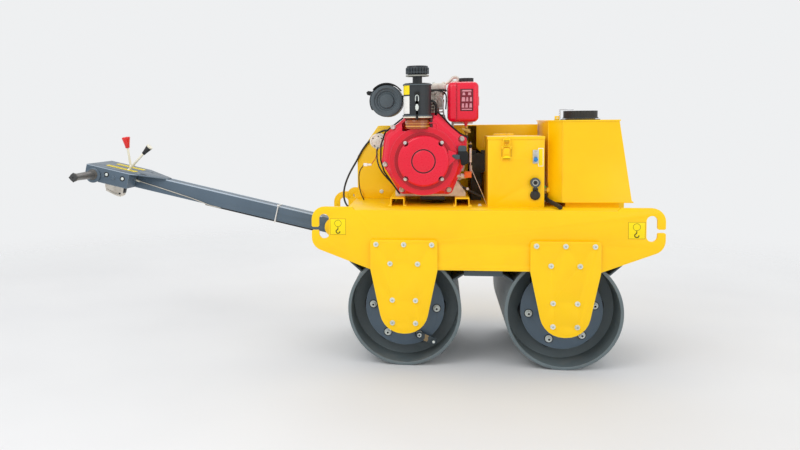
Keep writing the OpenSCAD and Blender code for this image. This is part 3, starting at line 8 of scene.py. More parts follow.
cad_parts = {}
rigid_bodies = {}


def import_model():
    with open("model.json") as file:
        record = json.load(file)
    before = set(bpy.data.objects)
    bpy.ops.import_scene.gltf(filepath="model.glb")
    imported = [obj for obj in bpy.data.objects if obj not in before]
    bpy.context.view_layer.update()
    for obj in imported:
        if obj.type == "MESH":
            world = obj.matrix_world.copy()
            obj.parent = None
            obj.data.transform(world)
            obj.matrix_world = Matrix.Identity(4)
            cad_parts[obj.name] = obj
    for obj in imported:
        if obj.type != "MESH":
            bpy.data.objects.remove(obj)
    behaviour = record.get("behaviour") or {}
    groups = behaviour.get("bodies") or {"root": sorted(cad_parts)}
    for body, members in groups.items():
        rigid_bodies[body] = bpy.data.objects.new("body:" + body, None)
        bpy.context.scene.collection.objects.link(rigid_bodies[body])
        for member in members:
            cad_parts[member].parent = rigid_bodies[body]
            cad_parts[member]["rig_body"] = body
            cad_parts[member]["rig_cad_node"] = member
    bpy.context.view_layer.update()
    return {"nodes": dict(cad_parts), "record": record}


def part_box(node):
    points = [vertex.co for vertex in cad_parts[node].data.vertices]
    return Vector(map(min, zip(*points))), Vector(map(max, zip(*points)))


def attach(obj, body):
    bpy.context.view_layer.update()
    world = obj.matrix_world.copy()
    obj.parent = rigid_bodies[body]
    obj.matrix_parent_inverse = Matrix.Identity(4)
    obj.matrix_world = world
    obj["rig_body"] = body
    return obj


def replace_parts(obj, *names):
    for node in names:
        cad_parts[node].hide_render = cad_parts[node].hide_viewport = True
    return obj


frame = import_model()
nodes = frame["nodes"]
slotOf = {part["node"]: part["material_slot"] for part in frame["record"]["subparts"]}
mm = 0.001
mirror = Matrix.Diagonal((1, -1, 1, 1))  # near side to far side
print("frame loaded:", len(nodes), "nodes")


def boxMiddle(node):
    low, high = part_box(node)
    return (low + high) / 2


def linear(*colour):  # a colour as a picture shows it, 0 to 255
    return tuple(((c / 255 + 0.055) / 1.055) ** 2.4 if c > 10 else c / 255 / 12.92 for c in colour) + (1,)


def spoke(degrees):  # one step out from a centre, in the side view
    return Vector((math.cos(math.radians(degrees)), 0, math.sin(math.radians(degrees))))


# Camera, where the photograph was taken from
cameraPlace = {
    "location": (0.33475, -3.1651, 0.9238),
    "yaw": 0.1362, "pitch": 0.064, "roll": -0.0101,
    "lens": 34.57, "sensor": 36, "shift": (0.0825, -0.068),
}


def addCamera():
    place = cameraPlace
    camera = bpy.data.objects.new("camera", bpy.data.cameras.new("camera"))
    bpy.context.scene.collection.objects.link(camera)
    turn = Matrix.Rotation(place["yaw"], 4, "Z") @ Matrix.Rotation(math.pi / 2 - place["pitch"], 4, "X")
    camera.matrix_world = Matrix.Translation(place["location"]) @ turn @ Matrix.Rotation(place["roll"], 4, "Z")
    camera.data.lens, camera.data.sensor_width = place["lens"], place["sensor"]
    camera.data.shift_x, camera.data.shift_y = place["shift"]
    camera.data.clip_end = 60
    bpy.context.scene.camera = camera


addCamera()


# Shader maths: a socket's value, with the operators that the finishes use
class Value:
    def __init__(self, finish, socket):
        self.finish, self.socket = finish, socket

    def maths(self, operation, *values):
        return self.finish.node("ShaderNodeMath", {"operation": operation}, dict(enumerate(values)))

    def __add__(self, other):
        return self.maths("ADD", self, other)

    def __sub__(self, other):
        return self.maths("SUBTRACT", self, other)

    def __rsub__(self, other):
        return self.maths("SUBTRACT", other, self)

    def __mul__(self, other):
        return self.maths("MULTIPLY", self, other)

    def between(self, low, high):  # 0 at low, 1 at high
        ends = {"Value": self, "From Min": low, "From Max": high}
        return self.finish.node("ShaderNodeMapRange", {"interpolation_type": "SMOOTHSTEP"}, ends)


# A finish is one material; node() adds any of its nodes
class Finish:
    def __init__(self, name, **sockets):
        self.material = bpy.data.materials.new(name)
        self.material.use_nodes = True
        self.tree = self.material.node_tree
        self.shader = self.tree.nodes["Principled BSDF"]
        self.place = self.node("ShaderNodeTexCoord", output="Object")
        self.facing = self.node("ShaderNodeTexCoord", output="Normal")
        self.give(**sockets)

    def node(self, kind, settings=None, values=None, output=0):
        new = self.tree.nodes.new(kind)
        for name, value in (settings or {}).items():
            setattr(new, name, value)
        for name, value in (values or {}).items():
            self.feed(new.inputs[name], value)
        return Value(self, new.outputs[output])

    def feed(self, socket, value):
        if isinstance(value, Value):
            self.tree.links.new(value.socket, socket)
        else:
            socket.default_value = value

    def give(self, **sockets):
        for name, value in sockets.items():
            self.feed(self.shader.inputs[name.replace("_", " ")], value)

    def noise(self, size, detail=3, rough=0.5):  # size of the spots in metres
        look = {"Vector": self.place, "Scale": 1 / size, "Detail": detail, "Roughness": rough}
        return self.node("ShaderNodeTexNoise", None, look)

    def mixed(self, first, second, amount):
        return self.node("ShaderNodeMix", {"data_type": "RGBA"}, {0: amount, 6: first, 7: second}, 2)

    def edge(self, radius):  # 1 at an edge, 0 on a flat face
        bevelled = self.node("ShaderNodeBevel", {"samples": 4}, {"Radius": radius})
        true = self.node("ShaderNodeNewGeometry", output="True Normal")
        operation = {"operation": "DOT_PRODUCT"}
        same = self.node("ShaderNodeVectorMath", operation, {0: bevelled, 1: true}, "Value")
        return (1 - same).between(0.02, 0.22)

    def rough(self, height, distance):
        values = {"Height": height, "Distance": distance, "Strength": 1}
        self.feed(self.shader.inputs["Normal"], self.node("ShaderNodeBump", None, values))

    def upward(self):
        return self.node("ShaderNodeSeparateXYZ", None, {0: self.facing}, "Z")


print("helpers ready")

# Paints: colour, colour of the darker spots, roughness, coat, orange peel in mm, dust and wear at the edges;
# edges get a painted highlight, and where it shows more, also its width in mm, how much it brightens and how strongly
paintLooks = {
    "yellowPaint": ((255, 207, 0), (252, 192, 0), 0.36, 0.12, 0.12, 0.03, 0.2, 2.5, 100, 0.35),
    "slatePaint": ((86, 103, 118), (74, 90, 104), 0.42, 0.2, 0.1, 0.06, 0.15, 3, 120, 0.35),
    # the pale slate below is for painted highlights along the head's and the bar's edges
    "slateEdge": ((176, 190, 204), (140, 156, 172), 0.35, 0.2, 0.04, 0.06, 0.1),
    "redPaint": ((230, 12, 52), (216, 4, 36), 0.28, 0.4, 0.08, 0.02, 0.1, 3.5, 110, 0.35),
    "ashPaint": ((152, 153, 145), (120, 122, 116), 0.45, 0, 0.1, 0.06, 0.1),
    "ironPaint": ((68, 80, 87), (56, 67, 73), 0.5, 0.05, 0.2, 0.12, 0.3),
    "mufflerPaint": ((84, 94, 100), (70, 78, 84), 0.46, 0, 0.1, 0.06, 0.2),
    "blackPaint": ((44, 49, 53), (34, 38, 41), 0.42, 0.1, 0.1, 0.06, 0.2),
    "blackTrim": ((20, 21, 22), (14, 15, 16), 0.5, 0, 0.1, 0.05, 0.1),
    "drumPaint": ((106, 118, 122), (84, 94, 98), 0.5, 0.05, 0.25, 0.2, 0.6, 3, 90, 0.5),
    "dishRed": ((222, 8, 44), (206, 2, 30), 0.26, 0.4, 0.08, 0.02, 0, 2, 110, 0.35),
    "shadeRed": ((176, 2, 30), (150, 0, 20), 0.3, 0.3, 0.04, 0, 0, 1.5, 70, 0),
    "plateMark": ((214, 150, 160), (196, 96, 112), 0.4, 0.1, 0.02, 0.02, 0),
    "signEdge": ((196, 150, 0), (180, 132, 0), 0.5, 0, 0.02, 0.04, 0),
    "wornPaint": ((176, 150, 108), (120, 104, 80), 0.6, 0, 0.2, 0.1, 0.3),
    "plateRed": ((120, 10, 34), (104, 6, 26), 0.3, 0.3, 0.02, 0.02, 0),
    "labelWhite": ((238, 238, 234), (228, 228, 224), 0.4, 0.1, 0.01, 0.04, 0),
    "labelYellow": ((252, 226, 0), (246, 214, 0), 0.4, 0.1, 0.01, 0.02, 0),
}
dustTones = {"paint": (188, 176, 158), "plastic": (176, 168, 154), "chipped": (105, 98, 92)}


def paint(name, colour, tone, roughness, coat, peel, dust, wear, rim=1.5, lift=70, pale=0.1):
    finish = Finish(name)
    spots = finish.noise(0.22, 4)
    fine = finish.noise(0.006, 2)
    base = finish.mixed(linear(*colour), linear(*tone), spots.between(0.35, 0.8) * 0.6)
    edge = finish.edge(rim * mm)
    worn = edge * finish.noise(0.03, 5).between(0.5, 0.72) * wear
    # painted highlight: the edges are mixed towards a brighter colour
    edgeHighlighted = finish.mixed(base, linear(*[min(255, c * 0.7 + lift) for c in colour]), edge * pale)
    chipped = finish.mixed(edgeHighlighted, linear(*dustTones["chipped"]), worn)
    up = finish.upward().between(0.4, 1)
    dusty = (up * 0.8 + 0.2) * finish.noise(0.12, 6, rough=0.65).between(0.42, 0.75) * dust
    finish.give(Base_Color=finish.mixed(chipped, linear(*dustTones["paint"]), dusty))
    finish.give(Roughness=dusty * 0.9 + worn * 0.5 + (fine * 0.06 + roughness - 0.03))
    finish.give(Coat_Weight=coat, Coat_Roughness=0.12, Specular_IOR_Level=0.3)
    finish.rough(finish.noise(0.0035, 2) + finish.noise(0.02, 1) * 1.5, peel * mm)
    return finish.material


metalLooks = {  # colour, darker tone, metallic, roughness, size of the grain and its height in mm
    "brightZinc": ((224, 230, 226), (196, 204, 198), 0.15, 0.34, 4, 0.05),
    "dullZinc": ((176, 184, 174), (158, 166, 156), 0.1, 0.45, 4, 0.05),
    "zincPlate": ((205, 205, 198), (168, 166, 156), 0.9, 0.32, 4, 0.06),
    "castAlloy": ((236, 229, 218), (192, 184, 172), 0.2, 0.5, 1.8, 0.35),
    "machinedSteel": ((176, 178, 180), (140, 142, 144), 0.95, 0.3, 2, 0.04),
    "castIron": ((66, 72, 76), (52, 56, 58), 0.2, 0.6, 2.2, 0.4),
    "chrome": ((225, 226, 228), (205, 206, 208), 1, 0.12, 10, 0.01),
    "brassCasting": ((196, 160, 88), (160, 124, 62), 0.9, 0.38, 2, 0.15),
}


def metal(name, colour, darker, metallic, roughness, grain, height):
    finish = Finish(name, Metallic=metallic)
    tone = finish.noise(0.05, 5, rough=0.6).between(0.35, 0.75)
    base = finish.mixed(linear(*colour), linear(*darker), tone)
    edge = finish.edge(0.001)
    # painted highlight: brighter along the edges
    finish.give(Base_Color=finish.mixed(base, linear(*[min(255, c + 25) for c in colour]), edge * 0.5))
    finish.give(Roughness=tone * 0.14 + roughness + finish.noise(grain * mm, 2) * 0.08)
    finish.rough(finish.noise(grain * mm, 4), height * mm)
    return finish.material


plasticLooks = {  # colour, roughness, coat, size of the grain and its height in mm
    "blackPlastic": ((34, 36, 38), 0.42, 0, 0.9, 0.1),
    "blackRubber": ((30, 31, 32), 0.66, 0, 1.6, 0.18),
    "redPlastic": ((235, 16, 8), 0.2, 0.5, 10, 0.02),
    "bluePlastic": ((28, 128, 206), 0.25, 0.3, 10, 0.02),
    "amberOil": ((156, 72, 0), 0.14, 0.5, 12, 0.3),
    "gripRubber": ((92, 89, 84), 0.34, 0.25, 3, 0.1),
    "gripEnd": ((58, 59, 59), 0.5, 0, 2, 0.1),
    "creamCoat": ((243, 238, 216), 0.25, 0.4, 10, 0.02),
    "amberRim": ((240, 172, 74), 0.15, 0.6, 6, 0.02),
    "greenPlastic": ((40, 168, 84), 0.35, 0.1, 6, 0.04),
    "orangePlastic": ((250, 112, 14), 0.35, 0.1, 6, 0.04),
    "whiteCable": ((206, 203, 196), 0.45, 0, 4, 0.05),
    "paleCable": ((196, 190, 178), 0.45, 0, 4, 0.05),
    "blackCable": ((26, 27, 28), 0.4, 0, 4, 0.05),
    "whitePlastic": ((250, 250, 248), 0.45, 0.1, 10, 0.02),
    "redWire": ((200, 40, 30), 0.4, 0.1, 10, 0.02),
}


def plastic(name, colour, roughness, coat, grain, height):
    finish = Finish(name, Coat_Weight=coat)
    tone = finish.noise(0.06, 4)
    base = finish.mixed(linear(*colour), linear(*[c * 0.82 + 10 for c in colour]), tone.between(0.4, 0.75))
    dust = finish.upward().between(0.5, 1) * finish.noise(0.03, 5).between(0.45, 0.8) * 0.12
    finish.give(Base_Color=finish.mixed(base, linear(*dustTones["plastic"]), dust))
    finish.give(Roughness=tone * 0.1 + roughness + dust)
    finish.rough(finish.noise(grain * mm, 2), height * mm)
    return finish.material


finishes = {}
for makeFinish, looks in ((paint, paintLooks), (metal, metalLooks), (plastic, plasticLooks)):
    for name, look in looks.items():
        finishes[name] = makeFinish(name, *look)
print("finishes made:", len(finishes))


# Modelling helpers
def deselect():
    if bpy.context.mode != "OBJECT":
        bpy.ops.object.mode_set(mode="OBJECT")
    bpy.ops.object.select_all(action="DESELECT")


def pick(piece):  # the only selected piece
    deselect()
    piece.select_set(True)
    bpy.context.view_layer.objects.active = piece


def openPiece(piece, kind="VERT", whole=True):
    pick(piece)
    bpy.ops.object.mode_set(mode="EDIT")
    bpy.ops.mesh.select_mode(type=kind)
    bpy.ops.mesh.select_all(action="SELECT" if whole else "DESELECT")


def closePiece():
    bpy.ops.object.mode_set(mode="OBJECT")
    return bpy.context.active_object


def modifier(piece, kind, **settings):  # adds a modifier and applies it
    pick(piece)
    added = piece.modifiers.new(kind.lower(), kind)
    for name, value in settings.items():
        setattr(added, name, value)
    bpy.ops.object.modifier_apply(modifier=added.name)
    return piece


def bevelled(piece, width, segments=2, sharp=30):  # edges sharper than this angle are rounded
    angle = math.radians(sharp)
    return modifier(piece, "BEVEL", width=width, segments=segments, limit_method="ANGLE", angle_limit=angle)


def finishPiece(piece, name, finish, body="frame", slot=None):
    pick(piece)
    bpy.ops.object.transform_apply(location=True, rotation=True, scale=True)
    bpy.ops.object.shade_smooth_by_angle(angle=math.radians(40))
    piece.name = piece.data.name = name
    piece.data.materials.clear()
    piece.data.materials.append(finishes[finish])
    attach(piece, body)
    return piece


def copiedNode(node):  # a copy of a CAD node with its loose triangles merged
    pick(nodes[node])
    bpy.ops.object.duplicate()
    piece = bpy.context.active_object
    bpy.ops.object.parent_clear(type="CLEAR_KEEP_TRANSFORM")
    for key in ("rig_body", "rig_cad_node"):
        del piece[key]
    openPiece(piece)
    bpy.ops.mesh.remove_doubles(threshold=0.00001)
    bpy.ops.mesh.dissolve_limited(angle_limit=math.radians(0.6))
    return closePiece()


def softened(node, finish, width):  # a node with rounded edges in its place
    piece = copiedNode(node)
    if width:
        modifier(bevelled(piece, width, sharp=28), "WEIGHTED_NORMAL", keep_sharp=True)
    words = node.split("_")
    name = words[0] + "".join(word.capitalize() for word in words[1:]) + "Skin"
    finishPiece(piece, name, finish, nodes[node]["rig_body"], slotOf[node])
    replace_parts(piece, node)


def drawChain(points, face=False):  # lines from point to point, with a face inside them if asked
    deselect()
    bpy.ops.mesh.primitive_plane_add(size=0.002, location=points[0])
    bpy.ops.object.mode_set(mode="EDIT")
    bpy.ops.mesh.select_mode(type="VERT")
    bpy.ops.mesh.select_all(action="SELECT")
    bpy.ops.mesh.merge(type="CENTER")
    for first, second in zip(points, points[1:]):
        bpy.ops.mesh.extrude_vertices_move(TRANSFORM_OT_translate={"value": second - first})
    bpy.ops.mesh.select_all(action="SELECT")
    if face:
        bpy.ops.mesh.edge_face_add()
    return bpy.context.active_object


def outward():
    bpy.ops.mesh.select_all(action="SELECT")
    bpy.ops.mesh.normals_make_consistent(inside=False)


def mended(piece):  # normals turned out again after a mirror
    openPiece(piece)
    outward()
    return closePiece()


def plate(points, depth, bevel=0, segments=2):  # an outline pushed out to a solid
    piece = drawChain([Vector(p) for p in points], face=True)
    bpy.ops.mesh.extrude_region_move(TRANSFORM_OT_translate={"value": Vector(depth)})
    outward()
    closePiece()
    return bevelled(piece, bevel, segments) if bevel else piece


def oblong(x0, x1, z0, z1):
    return (x0, z0), (x1, z0), (x1, z1), (x0, z1)


def even(*half):  # the left half of a line or outline, with its right half added
    return half + tuple((-x, *rest) for x, *rest in reversed(half) if x)


def block(low, high, bevel=0.0006, segments=2):  # a squared bar with softened edges
    (x0, y0, z0), (x1, y1, z1) = low, high
    return plate([(x, y0, z) for x, z in oblong(x0, x1, z0, z1)], (0, y1 - y0, 0), bevel, segments)


across = {  # an axis to turn round, and where the profile's radius points
    "X": (Vector((1, 0, 0)), Vector((0, 0, 1))),
    "Y": (Vector((0, 1, 0)), Vector((1, 0, 0))),
    "Z": (Vector((0, 0, 1)), Vector((1, 0, 0))),
}


def turned(profile, centre=(0, 0, 0), axis="Y", steps=48, angle=360, start=None):
    # profile: radius and place along the axis in mm, closed to a ring where it doesn't start on the axis
    along, out = across[axis] if isinstance(axis, str) else axis
    out, centre = Vector(out if start is None else start), Vector(centre)
    points = [centre + (out * r + along * t) * mm for r, t in profile]
    if angle == 360 and profile[0][0]:
        points.append(points[0])
    drawChain(points, face=angle < 360)
    bpy.ops.mesh.spin(steps=steps, angle=math.radians(angle), center=centre, axis=along)
    bpy.ops.mesh.select_all(action="SELECT")
    bpy.ops.mesh.remove_doubles(threshold=0.000002)
    outward()
    return closePiece()


def ring(outer, inner, low, high, centre, axis="Y", steps=48):  # a washer or band
    return turned(oblong(inner, outer, low, high), centre, axis, steps)


def tube(points, radius, sides=2, fine=5, smooth=True, loop=False):  # a wire, hose or rod along points
    deselect()
    bpy.ops.curve.primitive_bezier_curve_add()
    line = bpy.context.active_object
    line.data.splines.clear()
    path = line.data.splines.new("BEZIER")
    path.bezier_points.add(len(points) - 1)
    for knot, place in zip(path.bezier_points, points):
        knot.co = Vector(place)
        knot.handle_left_type = knot.handle_right_type = "AUTO" if smooth else "VECTOR"
    path.use_cyclic_u, path.resolution_u = loop, fine
    line.data.dimensions, line.data.bevel_depth, line.data.bevel_resolution = "3D", radius, sides
    line.data.use_fill_caps = not loop
    bpy.ops.object.convert(target="MESH")
    openPiece(bpy.context.active_object)
    bpy.ops.mesh.remove_doubles(threshold=0.000002)
    outward()
    return closePiece()


def joined(pieces):
    deselect()
    for piece in pieces:
        piece.select_set(True)
    bpy.context.view_layer.objects.active = pieces[0]
    if len(pieces) > 1:
        bpy.ops.object.join()
    return bpy.context.active_object


def copiedTo(piece, places):  # a copy at each place, joined to one
    made = []
    for place in places:
        pick(piece)
        bpy.ops.object.duplicate()
        copy = bpy.context.active_object
        copy.matrix_world = place @ copy.matrix_world
        made.append(copy)
    bpy.data.objects.remove(piece)
    return joined(made)


def onBothSides(piece, places=(Matrix(),)):
    return mended(copiedTo(piece, list(places) + [mirror @ place for place in places]))


# Places in mm, from the machine's own origin or from the crankshaft's axis
def machine(x, y, z):
    return Vector((x * mm + 0.49565, y * mm, z * mm))


crank = boxMiddle("crank_pulley")


def engine(x, y, z):
    return Vector((crank.x + x * mm, y * mm, crank.z + z * mm))


def seenFrom(place, x, y, z):  # the same places, counted from a point of their own
    return lambda u, v, w: place(x + u, y + v, z + w)


def atY(y, *points):
    return [(x, y, z) for x, z in points]


# Pieces made from a table: name, then finish, body and slot where not the usual ones, and shapes in mm
shapes = {
    "block": lambda at, low, high, edge=0.6, segments=2: block(at(*low), at(*high), edge * mm, segments),
    "flat": lambda at, outline, y, depth, edge=0, segments=2:
        plate([at(x, y, z) for x, z in outline], (0, depth * mm, 0), edge * mm, segments),
    "turned": lambda at, profile, centre, *more: turned(profile, at(*centre), *more),
    "ring": lambda at, outer, inner, low, high, centre, *more: ring(outer, inner, low, high, at(*centre), *more),
    "tube": lambda at, points, radius, *more: tube([at(*point) for point in points], radius * mm, *more),
    "bolts": lambda at, head, *spots: copiedTo(boltHead(*head), placesAt([at(*spot) for spot in spots])),
    "top": lambda at, outline, w, depth, edge=0:
        plate([at(u, y, w) for u, y in outline], barUp * depth * mm, edge * mm),
    "end": lambda at, outline, u, depth, edge:
        plate([at(u, y, w) for y, w in outline], barBack * depth * mm, edge * mm),
}


def shaped(at, forms):
    return joined([shapes[kind](at, *values) for kind, *values in forms])


def addParts(at, table):
    for name, (look, *forms) in table.items():
        finishPiece(shaped(at, forms), name, *look.split())


skins = {  # finish, then each of its nodes with the width of the rounded edges in mm
    "yellowPaint": {
        "side_plate_near": 1.4, "side_plate_far": 1.4, "deck": 1, "drum_brackets": 1.4, "belt_hood": 3,
        "box_body": 1.2, "water_tank": 1.6, "drawbar_pivot": 1.4, "box_lid": 1.2, "box_latch": 0.8,
    },
    "redPaint": {"fan_cowling": 2.5, "recoil_housing": 2, "fuel_tank": 0.8},
    "slatePaint": {"rear_discs": 1.2, "front_discs": 1.2, "drawbar": 5, "control_head": 2.4},
    "drumPaint": {"rear_drum": 1.5, "front_drum": 1.5},
    "ironPaint": {"scrapers": 0.8},
    "mufflerPaint": {"muffler": 1},
    "blackPaint": {"air_cleaner": 0.8},
    "castAlloy": {"crankcase": 3, "engine_cylinder": 0.8, "starter_motor": 1.2, "engine_fittings": 0.8},
    "castIron": {"drum_hubs": 1.5, "hydraulic_pump": 1.5, "crank_pulley": 0.8, "pump_pulley": 0.8},
    "machinedSteel": {"rear_exciter": 1, "front_exciter": 1, "crankshaft": 0.8},
    "blackPlastic": {
        "battery": 3, "key_switch": 0.8, "key_barrel": 0.4,
        "dust_cap": 0.8, "tank_cap": 0.8, "fuel_cap": 1,
    },
    "blackRubber": {"drive_belt": 0.8, "drain_hose": 0, "rear_buffers": 2, "front_buffers": 2},
    "zincPlate": {"switch_plate": 0.6},
    "brassCasting": {"drain_valve": 0.6},
    "amberOil": {"oil_bowl": 1},
    "blackCable": {"machine_cable": 0},
    "paleCable": {"bar_cable": 0},
    "bluePlastic": {"start_button": 0.6},
    "chrome": {"cap_lever": 0.6},
    "greenPlastic": {"valve_handle": 0.6},
    "gripRubber": {"handlebar": 1},
}
nodeFinish = dict.fromkeys(nodes, "zincPlate")
for finish, widths in skins.items():
    for node, width in widths.items():
        nodeFinish[node] = finish
        softened(node, finish, width * mm)
for node, finish in nodeFinish.items():
    nodes[node].data.materials.clear()
    nodes[node].data.materials.append(finishes[finish])
print("skins made:", sum(len(widths) for widths in skins.values()))


# A hexagon bolt's head with its washer, looking towards -Y from the origin, in mm
def boltHead(radius, height, washer, under=2, dimple=0.5):
    deselect()
    bpy.ops.mesh.primitive_cylinder_add(vertices=6, radius=radius * mm, depth=height * mm)
    bpy.ops.transform.rotate(value=math.radians(90), orient_axis="X", center_override=(0, 0, 0))
    bpy.ops.transform.translate(value=(0, -(height / 2 + under) * mm, 0))
    head = bpy.context.active_object
    bpy.ops.object.transform_apply(location=True, rotation=True, scale=True)
    openPiece(head, "FACE", whole=False)
    shape = bmesh.from_edit_mesh(head.data)
    for face in shape.faces:
        face.select_set(face.normal.y < -0.95)
    bmesh.update_edit_mesh(head.data)
    for inset, step in ((radius * 0.1, -height * 0.1), (radius * 0.3, dimple)):
        bpy.ops.mesh.inset(thickness=inset * mm)
        bpy.ops.transform.translate(value=(0, step * mm, 0))
    closePiece()
    bevelled(head, radius * 0.07 * mm, sharp=25)
    if washer:
        profile = ((0, 0), (washer, 0), (washer, -under * 0.7), (washer - 0.6, -under), (0, -under))
        head = joined([head, turned(profile)])
    return head


def placesAt(spots, turn=0):  # each place turned on from the one before
    return [Matrix.Translation(spot) @ Matrix.Rotation(turn * k, 4, "Y") for k, spot in enumerate(spots)]


# Bolts through the side plates and the drum brackets
frameBolt = {
    "head": (8, 6, 9.6, 2, 1.2), "dimple": ((0, -1), (4.2, -1), (4.2, -7.6), (0, -7.6)),
    "rows": ((-103, 96), (0, 96), (103, 96), (-51, 24), (51, 24)), "base": 369, "hub": 43, "face": -332, "turn": 0.37,
}


def addFrameBolts():
    look, spots = frameBolt, []
    face, hub = look["face"] * mm, look["hub"] * mm
    for axle in ("rear_drum", "front_drum"):
        x, y, z = boxMiddle(axle)
        spots += [Vector((x + u * mm, face, (look["base"] + w) * mm)) for u, w in look["rows"]]
        spots += [Vector((x + i * hub, face, z + j * hub)) for i in (-1, 1) for j in (-1, 1)]
    places = placesAt(spots, look["turn"])
    heads = finishPiece(onBothSides(boltHead(*look["head"]), places), "frameBoltHeads", "brightZinc")
    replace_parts(heads, "frame_bolts")
    finishPiece(onBothSides(turned(look["dimple"], steps=16), places), "frameBoltDimples", "dullZinc")


# Nuts on the buffers' studs
discNut = {
    "circle": 121, "face": -243, "turns": {"rear": -2.8, "front": 8}, "turn": 0.5, "nut": (10.8, 8, 13.4, 2, 0.4),
    "collar": ((4.4, -9), (7.6, -9), (8.2, -12), (7.4, -14.5), (4.4, -14.5)),
    "hole": ((0, -9), (4.5, -9), (4.5, -13.6), (0, -13.6)),
    "rim": ((13.2, 0), (16.6, 0), (16.2, -1.2), (13.2, -1.2)),
}


def studPlace(end, k):  # one of the six on the near side
    spot = boxMiddle(end + "_drum") + spoke(discNut["turns"][end] + 60 * k) * discNut["circle"] * mm
    spot.y = discNut["face"] * mm
    return spot


def addDiscNuts():
    look = discNut
    for end in look["turns"]:
        places = placesAt([studPlace(end, k) for k in range(6)], look["turn"])
        nuts = joined([boltHead(*look["nut"]), turned(look["collar"], steps=20)])
        holes = joined([turned(look["hole"], steps=16), turned(look["rim"], steps=32)])
        for part, piece, finish in (("DiscNuts", nuts, "brightZinc"), ("DiscNutHoles", holes, "blackTrim")):
            finishPiece(onBothSides(piece, places), end + part, finish, end + "_roller", "zinc")
        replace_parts(bpy.data.objects[end + "DiscNuts"], end + "_disc_bolts")


# Strap that holds one nut of the rear drum
lockStrap = {
    "run": (54, 0, -23), "half": 13, "thick": 6, "lift": 9, "edge": 0.8,
    "worn": ((0.3, 0.94), (0.52, 0.98), (0.6, 0.94), (0.56, 0.3), (0.64, -0.2), (0.6, -0.94), (0.36, -0.96),
             (0.4, -0.2)),
    "bolt": (10.4, 6, 12.6, 1.6, 0.6), "boltEnd": ((0, -7), (5.4, -7), (5, -9.4), (0, -9.4)),
    "nut": (8.8, 5, 0, 0, 0.4), "nutHole": ((0, -3), (3.6, -3), (3.6, -6.2), (0, -6.2)),
}


def addLockStrap():
    look = lockStrap
    run, front, half = Vector(look["run"]) * mm, Vector((0, -look["thick"] * mm, 0)), look["half"] * mm
    start = studPlace("rear", 5) - Vector((0, look["lift"] * mm, 0))
    along = run.normalized()
    side, outline = along.cross(Vector((0, 1, 0))), []
    for centre, first in ((start, 90), (start + run, -90)):
        for k in range(9):
            turn = spoke(first + 22.5 * k)
            outline.append(centre + (along * turn.x + side * turn.z) * half)
    worn = [start + run * t + side * w * half + front * 0.98 for t, w in look["worn"]]
    nutSpot, boltSpot = start + front, start + run + front
    parts = (
        ("", "ironPaint", plate(outline, front, look["edge"] * mm)),
        ("Worn", "wornPaint", plate(worn, front * 0.05)),
        ("Bolt", "ironPaint", copiedTo(boltHead(*look["bolt"]), placesAt([boltSpot]))),
        ("Nut", "brightZinc", copiedTo(boltHead(*look["nut"]), placesAt([nutSpot]))),
        ("NutHole", "blackTrim", turned(look["nutHole"], nutSpot, steps=16)),
        ("BoltEnd", "brightZinc", turned(look["boltEnd"], boltSpot, steps=20)),
    )
    for part, finish, piece in parts:
        finishPiece(piece, "lockStrap" + part, finish, "rear_roller", "zinc")


addFrameBolts()
addDiscNuts()
addLockStrap()
print("drums and frame dressed")

# The rest of the cowling: rim trim, badge, dish ring, shaded flange, raised frame beside the bowl and bolts
cowlingParts = {
    "cowlTrimRight": ("blackTrim frame rubber", (
        "tube", atY(-111, (52, 190), (70, 172), (108, 131), (142, 103), (166, 90)), 3.2, 2, 5, False)),
    "cowlTrimLeft": ("blackTrim frame rubber", (
        "tube", atY(-111, (-78, 169), (-152, 112), (-170, 60), (-171, 0), (-158, -45), (-122, -98), (-96, -135)),
        3.2, 2, 5, False)),
    "recoilBadgeRing": ("blackTrim", ("ring", 46, 42, 0, -1, (0, -218, 0), "Y", 72)),
    "recoilBadgeDisc": ("redPaint", (
        "turned", ((0, 0), (42, 0), (42, -1.4), (40.5, -2.2), (0, -2.2)), (0, -217.6, 0), "Y", 72)),
    "cowlDishRing": ("dishRed", (
        "turned", ((112.6, 0.2), (131.5, 0.2), (132.6, -0.6), (131, -2.2), (128.4, -1.6), (116, -0.7), (112.6, -0.5)),
        (0, -190, 0), "Y", 96)),
    "recoilFlangeShade": ("shadeRed", ("ring", 111.6, 98.4, 0.2, -0.5, (0, -195, 0), "Y", 96)),
    "cowlRaisedFrame": ("redPaint", (
        "tube", atY(-186, (20, 118), (48, 118), (53, 123), (53, 140), (47, 146), (20, 146)), 2.4, 2, 5, False)),
    "cowlBolts": (
        "brightZinc",
        ("bolts", (8.4, 5.5, 10.4, 2, 1.6), *atY(
            -112, (-121.5, 131), (147.7, 82.3), (-153.3, -16.8), (-87.9, -117.8), (97.2, -117.8))),
        ("bolts", (5.7, 4.6, 7, 1.4, 1.1), *atY(-195, (-70, -70), (-70, 70), (70, -70), (70, 70)))),
}
# Muffler's guard and the tabs of its clamp, from the can's axis
mufflerParts = {
    "mufflerGuard": ("blackTrim frame dark_iron", (
        "turned", oblong(66.5, 72, 0, 77), (0, -97, 0), "Y", 40, 104, spoke(36))),
    "mufflerTabs": (
        "blackTrim frame dark_iron",
        ("flat", ((-64, 22), (-80, 26), (-84, 36), (-76, 42), (-62, 40)), -60, 30, 1),
        ("flat", ((58, 20), (78, 24), (78, 8), (66, 0), (60, 4)), -66, 26, 1)),
}

# Air cleaner: labels, rims, gasket, toggle clip, a black band of painted shade on the bowl and its light rims, from the
# can's foot
canRadius, labelStart = 53, (-spoke(33).z, -spoke(33).x, 0)


def hoop(outer, inner, low, high):
    return "ring", outer, inner, low, high, (0, 0, 0), "Z", 64


